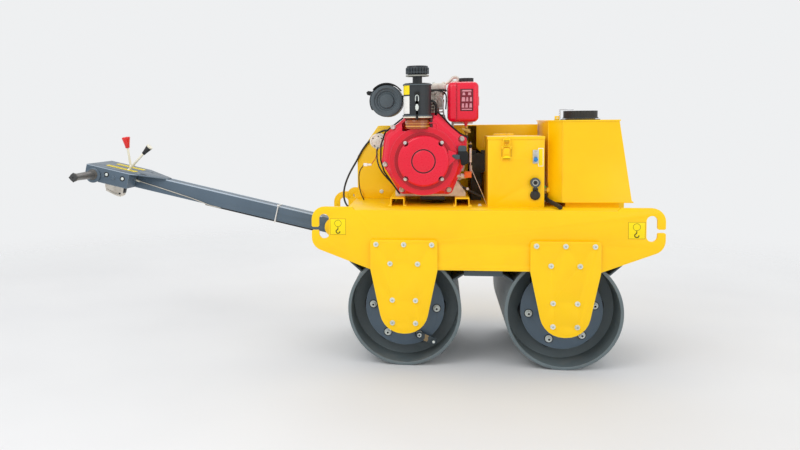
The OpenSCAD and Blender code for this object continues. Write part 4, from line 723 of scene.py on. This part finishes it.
canParts = {
    "canLabelTop": ("labelYellow frame black_plastic", (
        "turned", oblong(canRadius - 0.4, canRadius + 0.5, 84, 122), (0, 0, 0), "Z", 16, 58, labelStart)),
    "canLabelSide": ("labelWhite frame black_plastic", (
        "turned", oblong(canRadius - 0.4, canRadius + 0.5, 11, 78), (0, 0, 0), "Z", 16, 58, labelStart)),
    "canRims": (
        "mufflerPaint", hoop(canRadius + 4.6, canRadius - 2, 1, 6),
        hoop(canRadius + 2.8, canRadius - 2, 119, 123)),
    "canGasket": ("creamCoat", hoop(canRadius + 3.4, canRadius - 4, -4.4, 0.4)),
    "canClipBlack": (
        "blackTrim", ("flat", oblong(-9, 9, 94, 79), 1 - canRadius, -7, 1.2),
        ("flat", even((-5, 60), (-9, 46)), 1 - canRadius, -7, 1.2),
        ("flat", even((-3.5, 26), (-5, 14), (-4, -12)), 1 - canRadius, -7, 1.2)),
    "canClip": (
        "brightZinc",
        ("tube", even((-5.5, -58.4, 58), (-5.5, -59.4, 74), (-3, -59, 80)), 1.5),
        ("flat", even((-5, 76), (-6.5, 63)), 1 - canRadius, -6.2, 1),
        ("flat", even((-3, 47), (-6.5, 38), (-6, 29), (-2.5, 22)), -58.4, -3.2, 1)),
    "rainCapRim": ("ashPaint", ("ring", 44.6, 40, 0, 5, (0, 0, 154), "Z", 56)),
    # black band: painted shade over the top of the bowl
    "bowlBand": ("blackTrim", hoop(48.6, 40, -11, -4.6)),
    "bowlRim": ("amberRim", hoop(48.8, 42, -38.6, -35.4)),
    "bowlLevel": ("amberRim", hoop(48.4, 42, -27.6, -26.4)),
}
canFoot = (-23.5, -168, 171)
rainCap = {"rib": ((-1.1, -44.7, 163), (1.1, -42, 187)), "edge": 0.5, "ribs": 24}


def addRainCapRibs():
    (low, high), count = rainCap["rib"], rainCap["ribs"]
    rib = block(Vector(low) * mm, Vector(high) * mm, rainCap["edge"] * mm)
    foot = Matrix.Translation(engine(*canFoot))
    turns = [foot @ Matrix.Rotation(math.tau * k / count, 4, "Z") for k in range(count)]
    finishPiece(copiedTo(rib, turns), "rainCapRibs", "mufflerPaint")


# Fuel tank: seam strip in painted shade, bare plate in a dark frame, cock and pipe below
plateRows = (  # low and high edge, then the left and right end of each bar
    (266, 272, (148, 184)), (252, 262, (149, 160), (170, 182)), (228, 244, (146, 160), (163, 172), (177, 186)),
    (204, 220, (146, 156), (160, 170), (175, 186)), (195, 199, (146, 186)),
)
fuelParts = {
    "tankPlateFrame": ("blackTrim", ("flat", oblong(141, 190, 191, 276), -139.8, -0.9, 0.2)),
    "tankPlateFace": ("plateRed", ("flat", oblong(143.2, 187.8, 193.2, 273.8), -140.4, -0.7, 0.2)),
    "tankPlateMarks": ("plateMark", *[
        ("flat", ((left, low), (right, low), (right - 1.5, high), (left + 1.5, high)), -141, -0.4)
        for low, high, *bars in plateRows for left, right in bars]),
    "fuelCockNut": ("redPaint", (
        "turned", ((0, 2), (9, 2), (9, -6), (6, -8), (6, -16), (0, -16)), (164, -96, 147), "Z", 6)),
    "fuelCock": (
        "brassCasting",
        ("turned", ((0, 0), (5, 0), (5, -10), (8, -12), (8, -26), (5, -28), (5, -38), (0, -38)),
         (166, -96, 134), "Z", 24),
        ("tube", ((166, -96, 118), (180, -100, 118)), 4),
        ("flat", ((146, 120), (150, 126), (176, 118), (183, 108), (178, 104), (160, 112)), -107, -4, 1)),
    "fuelPipe": ("blackRubber", (
        "tube", ((167, -96, 98), (168, -97, 84), (160, -95, 66), (150, -88, 52), (146, -78, 40)), 4.5)),
    # darker red strip along the seam: painted shade
    "tankSeamShine": ("shadeRed", ("block", (126, -143.6, 152), (128.4, -141, 300), 0.8)),
    "tankSideTab": ("redPaint", ("block", (211.42, -96, 211.5), (215.22, -82, 247.5), 1)),
}

# Rods, pipes and wires round the engine
def pipe(look, radius, *points):
    return look, ("tube", points, radius, 3)


enginePipes = {
    "controlSleeve": pipe("whitePlastic", 4.8, (182, -100, 46), (182, -100, -10)),
    "controlRod": pipe("chrome", 1.8, (182, -100, 70), (182, -100, -24)),
    "lowerSleeve": pipe("whiteCable", 5.2, (183, -100, -22), (183, -100, -54)),
    "thinRod": pipe("chrome", 1.5, (184, -104, -34), (204, -106, -80), (228, -110, -136), (243, -113, -175)),
    "drainTube": pipe("blackCable", 5, (150, -98, -108), (174, -100, -121), (204, -102, -136), (226, -104, -147)),
    "injectorPipe": pipe(
        "brightZinc frame steel", 2.8, (64, -60, 250), (72, -66, 236), (75, -68, 206), (80, -66, 172), (96, -62, 140),
        (112, -68, 108), (118, -66, 64), (120, -64, 52)),
    "returnPipe": pipe(
        "blackCable", 2.6, (28, -52, 272), (46, -60, 274), (70, -60, 270), (84, -52, 262), (88, -40, 240),
        (86, -30, 200)),
    "breatherHose": pipe(
        "blackRubber", 5, (30, -176, 232), (44, -172, 222), (48, -150, 196), (46, -120, 176),
        (36, -100, 160), (22, -80, 150)),
    "headColumn": pipe("castAlloy", 8, (48, -46, 242), (48, -46, 190), (50, -42, 150)),
    "liftEye": pipe(
        "castAlloy", 6.2, (70, -8, 296), (92, -10, 306), (104, -12, 314), (116, -12, 327),
        (130, -12, 327), (136, -12, 316), (128, -12, 309), (112, -12, 310)),
    "starterCable": pipe(
        "blackCable", 3, (-186, -80, 50), (-188, -88, 30), (-182, -102, -16), (-166, -104, -48),
        (-150, -92, -70), (-127, -88, -96)),
    "redWire": pipe(
        "redWire", 1.4, (-214, -60, -21), (-204, -68, -8), (-194, -74, 8), (-190, -78, 30), (-192, -76, 44)),
    "plugWire": pipe(
        "blackCable", 2.2, (-244, -58, -22), (-262, -40, -48), (-268, -20, -96), (-262, -10, -140),
        (-250, 0, -172)),
}


# Cast and moulded parts beside them, each of blocks with one edge and two corners each
def blocks(look, edge, *corners):
    return look, *[("block", low, high, edge, 3) for low, high in corners]


engineBlocks = {
    "rockerCover": blocks("castAlloy", 4, ((26, -48, 278), (88, 42, 300)), ((34, -40, 298), (80, 34, 304))),
    "headGasket": blocks("blackTrim frame rubber", 0.4, ((24, -50, 272), (90, 44, 278))),
    "headBoss": blocks(
        "castAlloy", 3, ((30, -52, 262), (84, 30, 273)), ((56, -58, 206), (78, -34, 236)),
        ((60, -54, 150), (84, -36, 176))),
    "orangeCoupling": blocks(
        "orangePlastic", 2, ((157, -124, -70), (185, -94, -46)), ((163, -127, -66), (172, -122, -50))),
    "connector": blocks(
        "whitePlastic", 1.2, ((-245, -66, -27), (-228, -54, -15)), ((-230, -64, -25), (-212, -56, -17))),
    "sump": blocks("blackPaint", 3, ((-16, -100, -160), (82, 84, -143))),
    "speedBracket": blocks("brassCasting", 1, ((148, -103, 60), (188, -97, 64)), ((148, -103, 40), (152, -70, 64))),
    "pumpTop": blocks("castAlloy", 3, ((112, -82, 20), (138, -58, 52)), ((120, -92, 28), (132, -80, 42))),
}


# Turned parts: centre, axis and profile of radius and place along the axis
def spun(look, centre, axis, *profile):
    return look, ("turned", profile, centre, axis, 32)


screwEnd, screwCircle = ((0, 0), (2.6, 0), (2.2, -1.6), (0, -2)), 21
engineTurned = {
    "injectorBody": spun(
        "castAlloy", (60, -50, 250), "Y", (0, -14), (7, -14), (8, -9), (15, -8), (17.5, -4), (17.5, 16), (0, 16)),
    "rockerStudLeft": spun("brightZinc", (38, -24, 300), "Z", (0, 0), (5.5, 0), (5.5, 7), (4, 10), (0, 10)),
    "rockerStudRight": spun("castAlloy", (76, -20, 300), "Z", (0, 0), (6, 0), (5, 9), (3, 11), (0, 11)),
    "couplingBolt": spun("brightZinc", (110, -108, -64), "X", (0, 0), (6.5, 0), (6.5, 33), (10, 34), (10, 52), (0, 52)),
    "sleeveJoint": spun("blackTrim", (182, -100, 46), "Z", (0, 0), (6.5, 0), (6.5, 11), (4.5, 14), (0, 14)),
    "tubeNipple": spun("whitePlastic", (170, -106, -115), "Y", (0, -6), (4, -5), (6, -2), (6, 4), (0, 6)),
    "starterFace": spun(
        "castAlloy", (-188, -73, 74), "Y", (0, -3.2), (8, -3.2), (9, -1.6), (21, -1.4), (22.5, -2.8),
        (27, -2.8), (28, 0), (0, 0)),
    "starterPost": spun("brightZinc", (-187, -72, 46), "Y", (0, -12), (3, -12), (3, -8), (6.5, -8), (6.5, 2), (0, 2)),
    "pumpUnion": spun(
        "brightZinc", (125, -70, 50), "Z", (0, 0), (8, 0), (8, 8), (5, 9), (5, 16), (7, 17), (7, 24), (0, 24)),
    "tankBoss": spun("brightZinc", (196, -100, 152), "Z", (0, -4), (5, -4), (6, 0), (5, 6), (0, 6)),
    "starterScrews": ("blackTrim", *[
        ("turned", screwEnd, (-188 + screwCircle * math.cos(a), -75.6, 74 + screwCircle * math.sin(a)), "Y", 12)
        for a in (0.6, 1.35, 2.5, 4.2)]),
}
hoodBolt = {
    "head": (6.6, 4.6, 8.6, 1.2, 0.8), "facing": ((-186, 124.6, -147), (-311, 119.4, -164)), "up": (216, -150, -176),
}


def addHoodBolts():
    look = hoodBolt
    up = Matrix.Translation(engine(*look["up"])) @ Matrix.Rotation(math.radians(-90), 4, "X")
    places = placesAt([engine(*spot) for spot in look["facing"]]) + [up]
    finishPiece(copiedTo(boltHead(*look["head"]), places), "hoodBolts", "brightZinc")


# Pull handle: bent grip, its upper pad and the stem that the rope leaves by
pullHandle = {  # outlines as parts of the grip's width from its inner side and of its height from the top
    "grip": ((0.1, 0.28), (0.76, 0.26), (0.9, 0.36), (0.92, 0.82), (0.78, 0.92), (0.5, 1), (0.32, 0.94),
             (0.28, 0.68), (0.12, 0.64)),
    "pad": ((0.1, 0.06), (0.22, 0), (0.66, 0), (0.76, 0.05), (0.76, 0.29), (0.1, 0.29)),
    "stem": ((-0.38, 0.47), (-0.26, 0.43), (0.24, 0.45), (0.24, 0.68), (-0.12, 0.67), (-0.38, 0.54)),
    "depths": {"grip": 0.9, "pad": 1, "stem": 1.1}, "inward": 0.08, "down": (0.92, 0.06), "edge": 3,
}


def addPullHandle():
    look, pieces = pullHandle, {}
    low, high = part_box("pull_handle")
    size, (share, drop), inward = high - low, look["down"], look["inward"]
    for name, depth in look["depths"].items():
        near = low.y + size.y * (1 - depth) / 2
        outline = [(low.x + size.x * (u + inward), near, high.z - size.z * (w * share + drop)) for u, w in look[name]]
        pieces[name] = plate(outline, (0, size.y * depth, 0), look["edge"] * mm, 3)
    grip = finishPiece(pieces["grip"], "pullHandleGrip", "blackTrim", "starter_grip")
    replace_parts(grip, "pull_handle")
    pads = joined([pieces["pad"], pieces["stem"]])
    finishPiece(pads, "pullHandlePads", "ironPaint", "starter_grip", "black_plastic")


addParts(engine, cowlingParts)
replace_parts(bpy.data.objects["cowlBolts"], "engine_bolts")
addParts(seenFrom(engine, -148, 0, 235), mufflerParts)
addParts(seenFrom(engine, *canFoot), canParts)
addRainCapRibs()
for table in (fuelParts, enginePipes, engineBlocks, engineTurned):
    addParts(engine, table)
addHoodBolts()
addPullHandle()
print("engine dressed")

# Toggle latch on the box's lid, from its own middle
latchParts = {
    "latchHook": (
        "yellowPaint latch",
        ("tube", even((-9, -2, 44), (-12.5, -3.4, 56), (-12.5, -3.4, 66), (-8, -2.4, 74.5), (0, -1, 77.5)), 2.2, 3),
        ("flat", even((-11, 16), (-11.5, 36), (-8, 40)), -0.2, -2.6, 1.4),
        ("block", (-18.6, -4.2, 36), (-13.4, 2, 48), 1.2), ("block", (13.4, -4.2, 36), (18.6, 2, 48), 1.2)),
    "latchShine": (
        "labelYellow latch",
        ("flat", even((-13.5, 1.5), (-15.5, 6), (0, 12)), -1.4, -3.2, 1.2),
        ("block", (-12, -4.6, 45.5), (12, -1, 47.5), 0.6)),
    # darker yellow bars painted as shade in the latch's gaps
    "latchGaps": ("signEdge latch", *[
        ("block", (x0, -1.6, z0), (x1, 0.4, z1), 0.2)
        for x0, z0, x1, z1 in ((-9, 66, 9, 69), (-19, 8, -17.4, 44), (17.4, 8, 19, 44), (-13, -1.6, 13, 0.4))]),
    "latchKeeper": ("yellowPaint lid", ("block", (-8, 2.2, 70), (8, 7.8, 76), 1.2)),
    "latchRivets": ("yellowPaint latch", *[
        ("turned", ((0, 0), (3.2, 0), (2.4, -1.6), (0, -2)), (x, -0.2, 52), "Y", 12) for x in (-5.4, 5.4)]),
}

# Battery box and water tank: bare label, key ring, screws and hinge leaf; base and band of the cap, lever's pad
boxParts = {
    "boxLabelEdge": ("labelWhite", ("flat", oblong(208.5, 228, 747, 816), -199.9, -0.6, 0.2)),
    "boxLabelFace": ("labelYellow", ("flat", oblong(210.9, 225.6, 749.4, 813.6), -199.9, -1, 0.2)),
    "keyCollar": ("mufflerPaint", ("ring", 18.2, 11.6, -12.9, -11.4, (198, -200, 686), "Y", 40)),
    "keyRing": ("zincPlate", ("ring", 11.2, 8.2, -13.1, -11.8, (198, -200, 686), "Y", 40)),
    "keySlot": ("blackTrim key", ("block", (196.6, -212.9, 680), (199.4, -212.3, 692), 0.2)),
    "dustDome": ("blackPlastic dust_cap", (
        "turned", ((0, -10.6), (9, -10.6), (13, -10.2), (14.6, -9.4), (14.6, -8.4), (0, -8.4)),
        (198, -200, 638), "Y", 40)),
    "switchScrews": ("zincPlate", *[
        ("turned", ((0, 0), (2.6, 0), (2.2, -1.2), (0, -1.5)), (199, -203, z), "Y", 12) for z in (762, 804)]),
    "hingeLeaf": ("yellowPaint lid", ("block", (57, -22, 860.6), (134, -4, 862.2), 0.5)),
    "capBase": ("blackPaint", ("ring", 74, 53, 0.2, 3, (385, -60, 920), "Z", 72)),
    "capBand": ("mufflerPaint tank_cap", ("ring", 67.4, 60, 5.5, 7.6, (385, -60, 920), "Z", 72)),
    "leverPad": ("blackPaint", ("block", (286, -72, 920.1), (318, -48, 921.4), 0.4)),
    "leverKnob": ("brightZinc cap_lever", (
        "turned", ((0, -11), (3.4, -10.6), (4.2, -9.4), (4.2, 9.4), (3.4, 10.6), (0, 11)),
        (297.01, -60, 928), "Y", 20)),
    "tankWelds": ("yellowPaint", *[  # from above the turned valve's handle
        ("tube", ((x, y, 683), (x, y, 915)), 1.6, 3, 1) for x, y in ((252, -154), (298, -200))]),
}

# Signs by the lifting slots, with a plain ring and hook
liftSigns = {
    "right": (509, 568, 493, 554), "left": (-568, -508, 498, 559), "face": -320,
    "sheets": (("Edge", 0, 0.6, "signEdge"), ("Face", 1.6, 0.9, "labelYellow")),  # inset, thickness, finish
    "ring": (12.5, 43), "curl": ((0, 24), (-1, 20), (-5.5, 17), (-7, 11.5), (-4, 6.8), (1, 5.6), (6, 8), (7.6, 13)),
}


def addLiftSigns():
    look, y = liftSigns, liftSigns["face"]
    radius, height = look["ring"]
    circle = [(radius * spoke(30 * k).x, height + radius * spoke(30 * k).z) for k in range(12)]
    forms = (
        ("tube", atY(0, *circle), 0.7, 2, 2, True, True), ("tube", atY(0, (0, 30), (0, 22)), 1.4, 2, 1),
        ("tube", atY(0, *look["curl"]), 1.7, 2, 3),
    )
    for side in ("right", "left"):
        x0, x1, z0, z1 = look[side]
        for part, inset, depth, finish in look["sheets"]:
            outline = oblong(x0 + inset, x1 - inset, z0 + inset, z1 - inset)
            sheet = shapes["flat"](machine, outline, y + 0.1, -depth, 0.1)
            finishPiece(onBothSides(sheet), side + "LiftSign" + part, finish)
        at = seenFrom(machine, (x0 + x1) / 2, y - 0.6, z0)
        finishPiece(onBothSides(shaped(at, forms)), side + "LiftSignHook", "blackTrim", "frame", "yellow_paint")


addParts(seenFrom(machine, 91, -209.6, 777), latchParts)
addParts(machine, boxParts)
addLiftSigns()
print("box, tank and signs dressed")

# Drawbar and control head, placed along the bar from its pivot in mm
drawbar = {"pivot": (-590, 487), "tilt": 12.85}
barUp, barBack = spoke(90 - drawbar["tilt"]), spoke(180 - drawbar["tilt"])


def bar(u, y, w):  # u from the pivot to the grips, w up from the bar's axis
    x, z = drawbar["pivot"]
    return machine(x, y, z) + (barBack * u + barUp * w) * mm


headStrips = (
    (884, 1016, -46, -30), (884, 1016, -20, -12), (884, 890, -30, -20), (1010, 1016, -30, -20),
    (886, 1012, 50, 65), (886, 1012, 75, 86), (886, 892, 65, 75), (1006, 1012, 65, 75),
)
headScrews = ((972.3, -125, 9), (901.1, -125, 6.8))
screwHead = ((0, -3.2), (3.4, -3), (6.2, -1.4), (6.8, 0.4), (0, 0.4))
barParts = {
    "headStrips": ("labelYellow handle slate_paint", *[
        ("top", oblong(*strip), 34.1, 0.9, 0.1) for strip in headStrips]),
    "headHole": ("blackTrim handle slate_paint", (
        "top", [(842 + 16 * spoke(22.5 * k).x, -57 + 7 * spoke(22.5 * k).z) for k in range(16)], 33.4, 1.4)),
    "headScrews": ("brightZinc handle", *[("turned", screwHead, spot, "Y", 24) for spot in headScrews]),
    "headScrewRings": ("blackTrim handle rubber", *[
        ("ring", 10.4, 6.4, -1.4, 0.3, spot, "Y", 32) for spot in headScrews]),
    "gripFlanges": (
        "slatePaint handle",
        ("turned", ((8, 0), (29, 0), (31.5, 2), (31.5, 8), (8, 8)), (1028, -132.8, -6)),
        ("turned", ((8, 8), (29, 8), (31.5, 6), (31.5, 0), (8, 0)), (1028, 124.8, -6))),
    "paleEdges": (  # painted highlight along the head's lid and the bar's corners
        "slateEdge handle",
        *[("tube", ((1065, i * 124.4, 32.4), (876, i * 124.4, 32.4), (758, i * 33, 32.4)), 1.7, 2, 1, False)
          for i in (-1, 1)],
        ("tube", ((1065.4, -124, 32.4), (1065.4, 124, 32.4)), 1.7, 2, 1),
        *[("tube", ((748, y, 29.5), (60, y, 29.5)), 3, 2, 1) for y in (-29.5, 29.5)]),
    "valveBody": (
        "castAlloy handle",
        ("flat", ((1014, -34), (1010, -60), (1001, -77), (950, -88), (934, -88), (926, -79), (926, -34)),
         -30, 38, 4, 3),
        ("flat", ((1003, -75), (950, -87), (931, -87), (931, -80), (950, -79), (1001, -67)), -33, 6, 1.6)),
    "valvePorts": (
        "blackTrim handle", ("turned", ((0, 3.4), (3.6, 3.4), (3.6, -3.6), (0, -3.6)), (938, -30, -74), "Y", 16),
        ("end", oblong(-27, 5, -48, -70), 926.5, -2.4, 1)),
    "cableFerrule": ("creamCoat handle cable_white", ("tube", ((876, -37.2, 0.7), (858, -35.5, -1.2)), 4.2)),
    "cableTie": (
        "whitePlastic handle",
        ("tube", ((251.2, -31.6, 31.6), (250, 31.6, 31.6), (250, 31.6, -35.8), (250, -31.6, -35.8)),
         2.4, 2, 1, False, True),
        ("flat", oblong(246.5, 254.5, 30, 37), -32, -5, 0.8),
        ("tube", ((250, -34, 29), (250.5, -35, 0), (251, -35, -31), (251.4, -34.4, -40)), 2.5, 2, 3)),
    "underCable": ("blackCable handle", (
        "tube", [(u, -22, -34.4) for u in (560, 480, 400, 300, 200, 120, 60)], 3.5, 3)),
}

# Levers' knobs, rods, hubs and boots
levers = {"red": (70, 21.5, 166), "black": (-25, -31.5, 175)}  # place across, lean and length
knobs = {  # radius and place from the knob's end in mm
    "red": ((0, -49), (8.4, -49), (9.6, -47), (10, -41), (13, -26), (17.2, -9), (18.4, -4), (17.2, -0.8),
            (12, 0.4), (0, 0.7)),
    "black": ((0, -44), (7, -44), (8, -42), (8.4, -36), (10.4, -24), (13.2, -9), (13.8, -6), (13.4, -4), (0, -4)),
}
knobCap = ((0, -7), (13.4, -7), (14.4, -2), (13.4, 1), (10, 2.2), (0, 2.6))
leverHub = ((0, -8), (12, -8), (13, -7), (13, 7), (12, 8), (0, 8))
leverBoot = ((4.2, 24), (8.6, 24), (8.6, 30), (6.4, 33), (5.2, 40), (4.2, 41))


def addLevers():
    for tint, (y, lean, length) in levers.items():
        along = spoke(90 + lean - drawbar["tilt"])
        foot, shaft, node = bar(939, y, 4), (along, along.cross(Vector((0, 1, 0)))), tint + "_lever"
        parts = (
            ("Knob", tint + "Plastic", tint + "_plastic", [(r, length + t) for r, t in knobs[tint]], shaft, 40),
            ("LeverRod", "creamCoat", "zinc", oblong(0, 5, 9, length - 41), shaft, 24),
            ("LeverHub", "castIron", "zinc", leverHub, "Y", 40),
        )
        for part, finish, slot, profile, axis, steps in parts:
            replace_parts(finishPiece(turned(profile, foot, axis, steps), tint + part, finish, node, slot), node)
        finishPiece(turned(leverBoot, foot, shaft, 24), tint + "LeverBoot", "whitePlastic", node, "zinc")
        if tint == "black":
            cap = turned([(r, length + t) for r, t in knobCap], foot, shaft, 40)
            finishPiece(cap, "blackKnobCap", "creamCoat", node)


# Diamond ends of the grips, bolt through the pivot
gripEnd = {
    "place": (1030, 0, -4), "end": ((0, 7), (14, 7), (20, 1.5), (20, -2.5), (17, -4), (0, -4)), "edge": 1.6,
    "hole": ((0, -3.6), (2.6, -3.6), (2.6, -4.3), (0, -4.3)),
}
pivotBolt = {"head": (15, 9, 19, 2.5, 1.5), "face": -53}


def addBarEnds():
    spot = bar(*gripEnd["place"])
    for name, corner, side in (("gripEndNear", 0, 1), ("gripEndFar", 1, -1)):
        spot.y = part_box("handlebar")[corner].y
        end, hole = ([(r, side * t) for r, t in gripEnd[part]] for part in ("end", "hole"))
        end = bevelled(turned(end, spot, "Y", 4), gripEnd["edge"] * mm)
        finishPiece(end, name, "gripEnd", "handle")
        finishPiece(turned(hole, spot, "Y", 16), name + "Hole", "blackTrim", "handle", "rubber")
    x, z = drawbar["pivot"]
    pins = onBothSides(boltHead(*pivotBolt["head"]), placesAt([machine(x, pivotBolt["face"], z)]))
    finishPiece(pins, "pivotBolt", "brightZinc")


addParts(bar, barParts)
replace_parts(bpy.data.objects["valveBody"], "control_valve")
addLevers()
addBarEnds()
print("drawbar dressed")

# Floor and light
studio = {
    "floor": ((236, 237, 238), (224, 225, 227)), "fade": (4.2, 1.7), "ambient": 0.84, "back": (0.86, 0.87, 0.88, 1),
}
lights = {  # place, what it aims at, size and power
    "keyLight": ((-1.6, -3, 3.4), (0, 0, 0.5), 2.4, 52),
    "fillLight": ((3, -2.6, 2), (0, 0, 0.5), 2.6, 18),
    "rimLight": ((0.6, 2.8, 3.2), (0, 0, 0.6), 2.2, 24),
}


def addLights():
    for name, (place, aim, size, power) in lights.items():
        lamp = bpy.data.objects.new(name, bpy.data.lights.new(name, "AREA"))
        bpy.context.scene.collection.objects.link(lamp)
        lamp.data.shape, lamp.data.size, lamp.data.energy = "SQUARE", size, power
        lamp.location = place
        lamp.rotation_euler = (Vector(aim) - Vector(place)).to_track_quat("-Z", "Y").to_euler()


def addFloor():
    deselect()
    bpy.ops.mesh.primitive_plane_add(size=30, location=(0, 0, -0.0005))
    floor = bpy.context.active_object
    floor.name = "floor"
    ground = Finish("floorFinish", Roughness=0.7)
    first, second = studio["floor"]
    ground.give(Base_Color=ground.mixed(linear(*first), linear(*second), ground.noise(0.8, 2)))
    away = ground.node("ShaderNodeVectorMath", {"operation": "LENGTH"}, {0: ground.place}, "Value")
    ground.give(Alpha=away.between(*studio["fade"]))
    floor.data.materials.append(ground.material)


def addWorld():  # the camera and reflections see an even pale backdrop
    world = bpy.data.worlds.new("studio")
    bpy.context.scene.world = world
    world.use_nodes = True
    shaders, link = world.node_tree.nodes, world.node_tree.links.new
    light, back = shaders["Background"], shaders.new("ShaderNodeBackground")
    mix, path, either = (shaders.new("ShaderNode" + kind) for kind in ("MixShader", "LightPath", "Math"))
    light.inputs["Color"].default_value, light.inputs["Strength"].default_value = (1, 1, 1, 1), studio["ambient"]
    back.inputs["Color"].default_value, back.inputs["Strength"].default_value = studio["back"], 1
    either.operation = "MAXIMUM"
    link(path.outputs["Is Camera Ray"], either.inputs[0])
    link(path.outputs["Is Glossy Ray"], either.inputs[1])
    for k, source in enumerate((either, light, back)):
        link(source.outputs[0], mix.inputs[k])
    link(mix.outputs[0], shaders["World Output"].inputs[0])


addFloor()
addWorld()
addLights()
bpy.context.scene.view_settings.view_transform = "Standard"
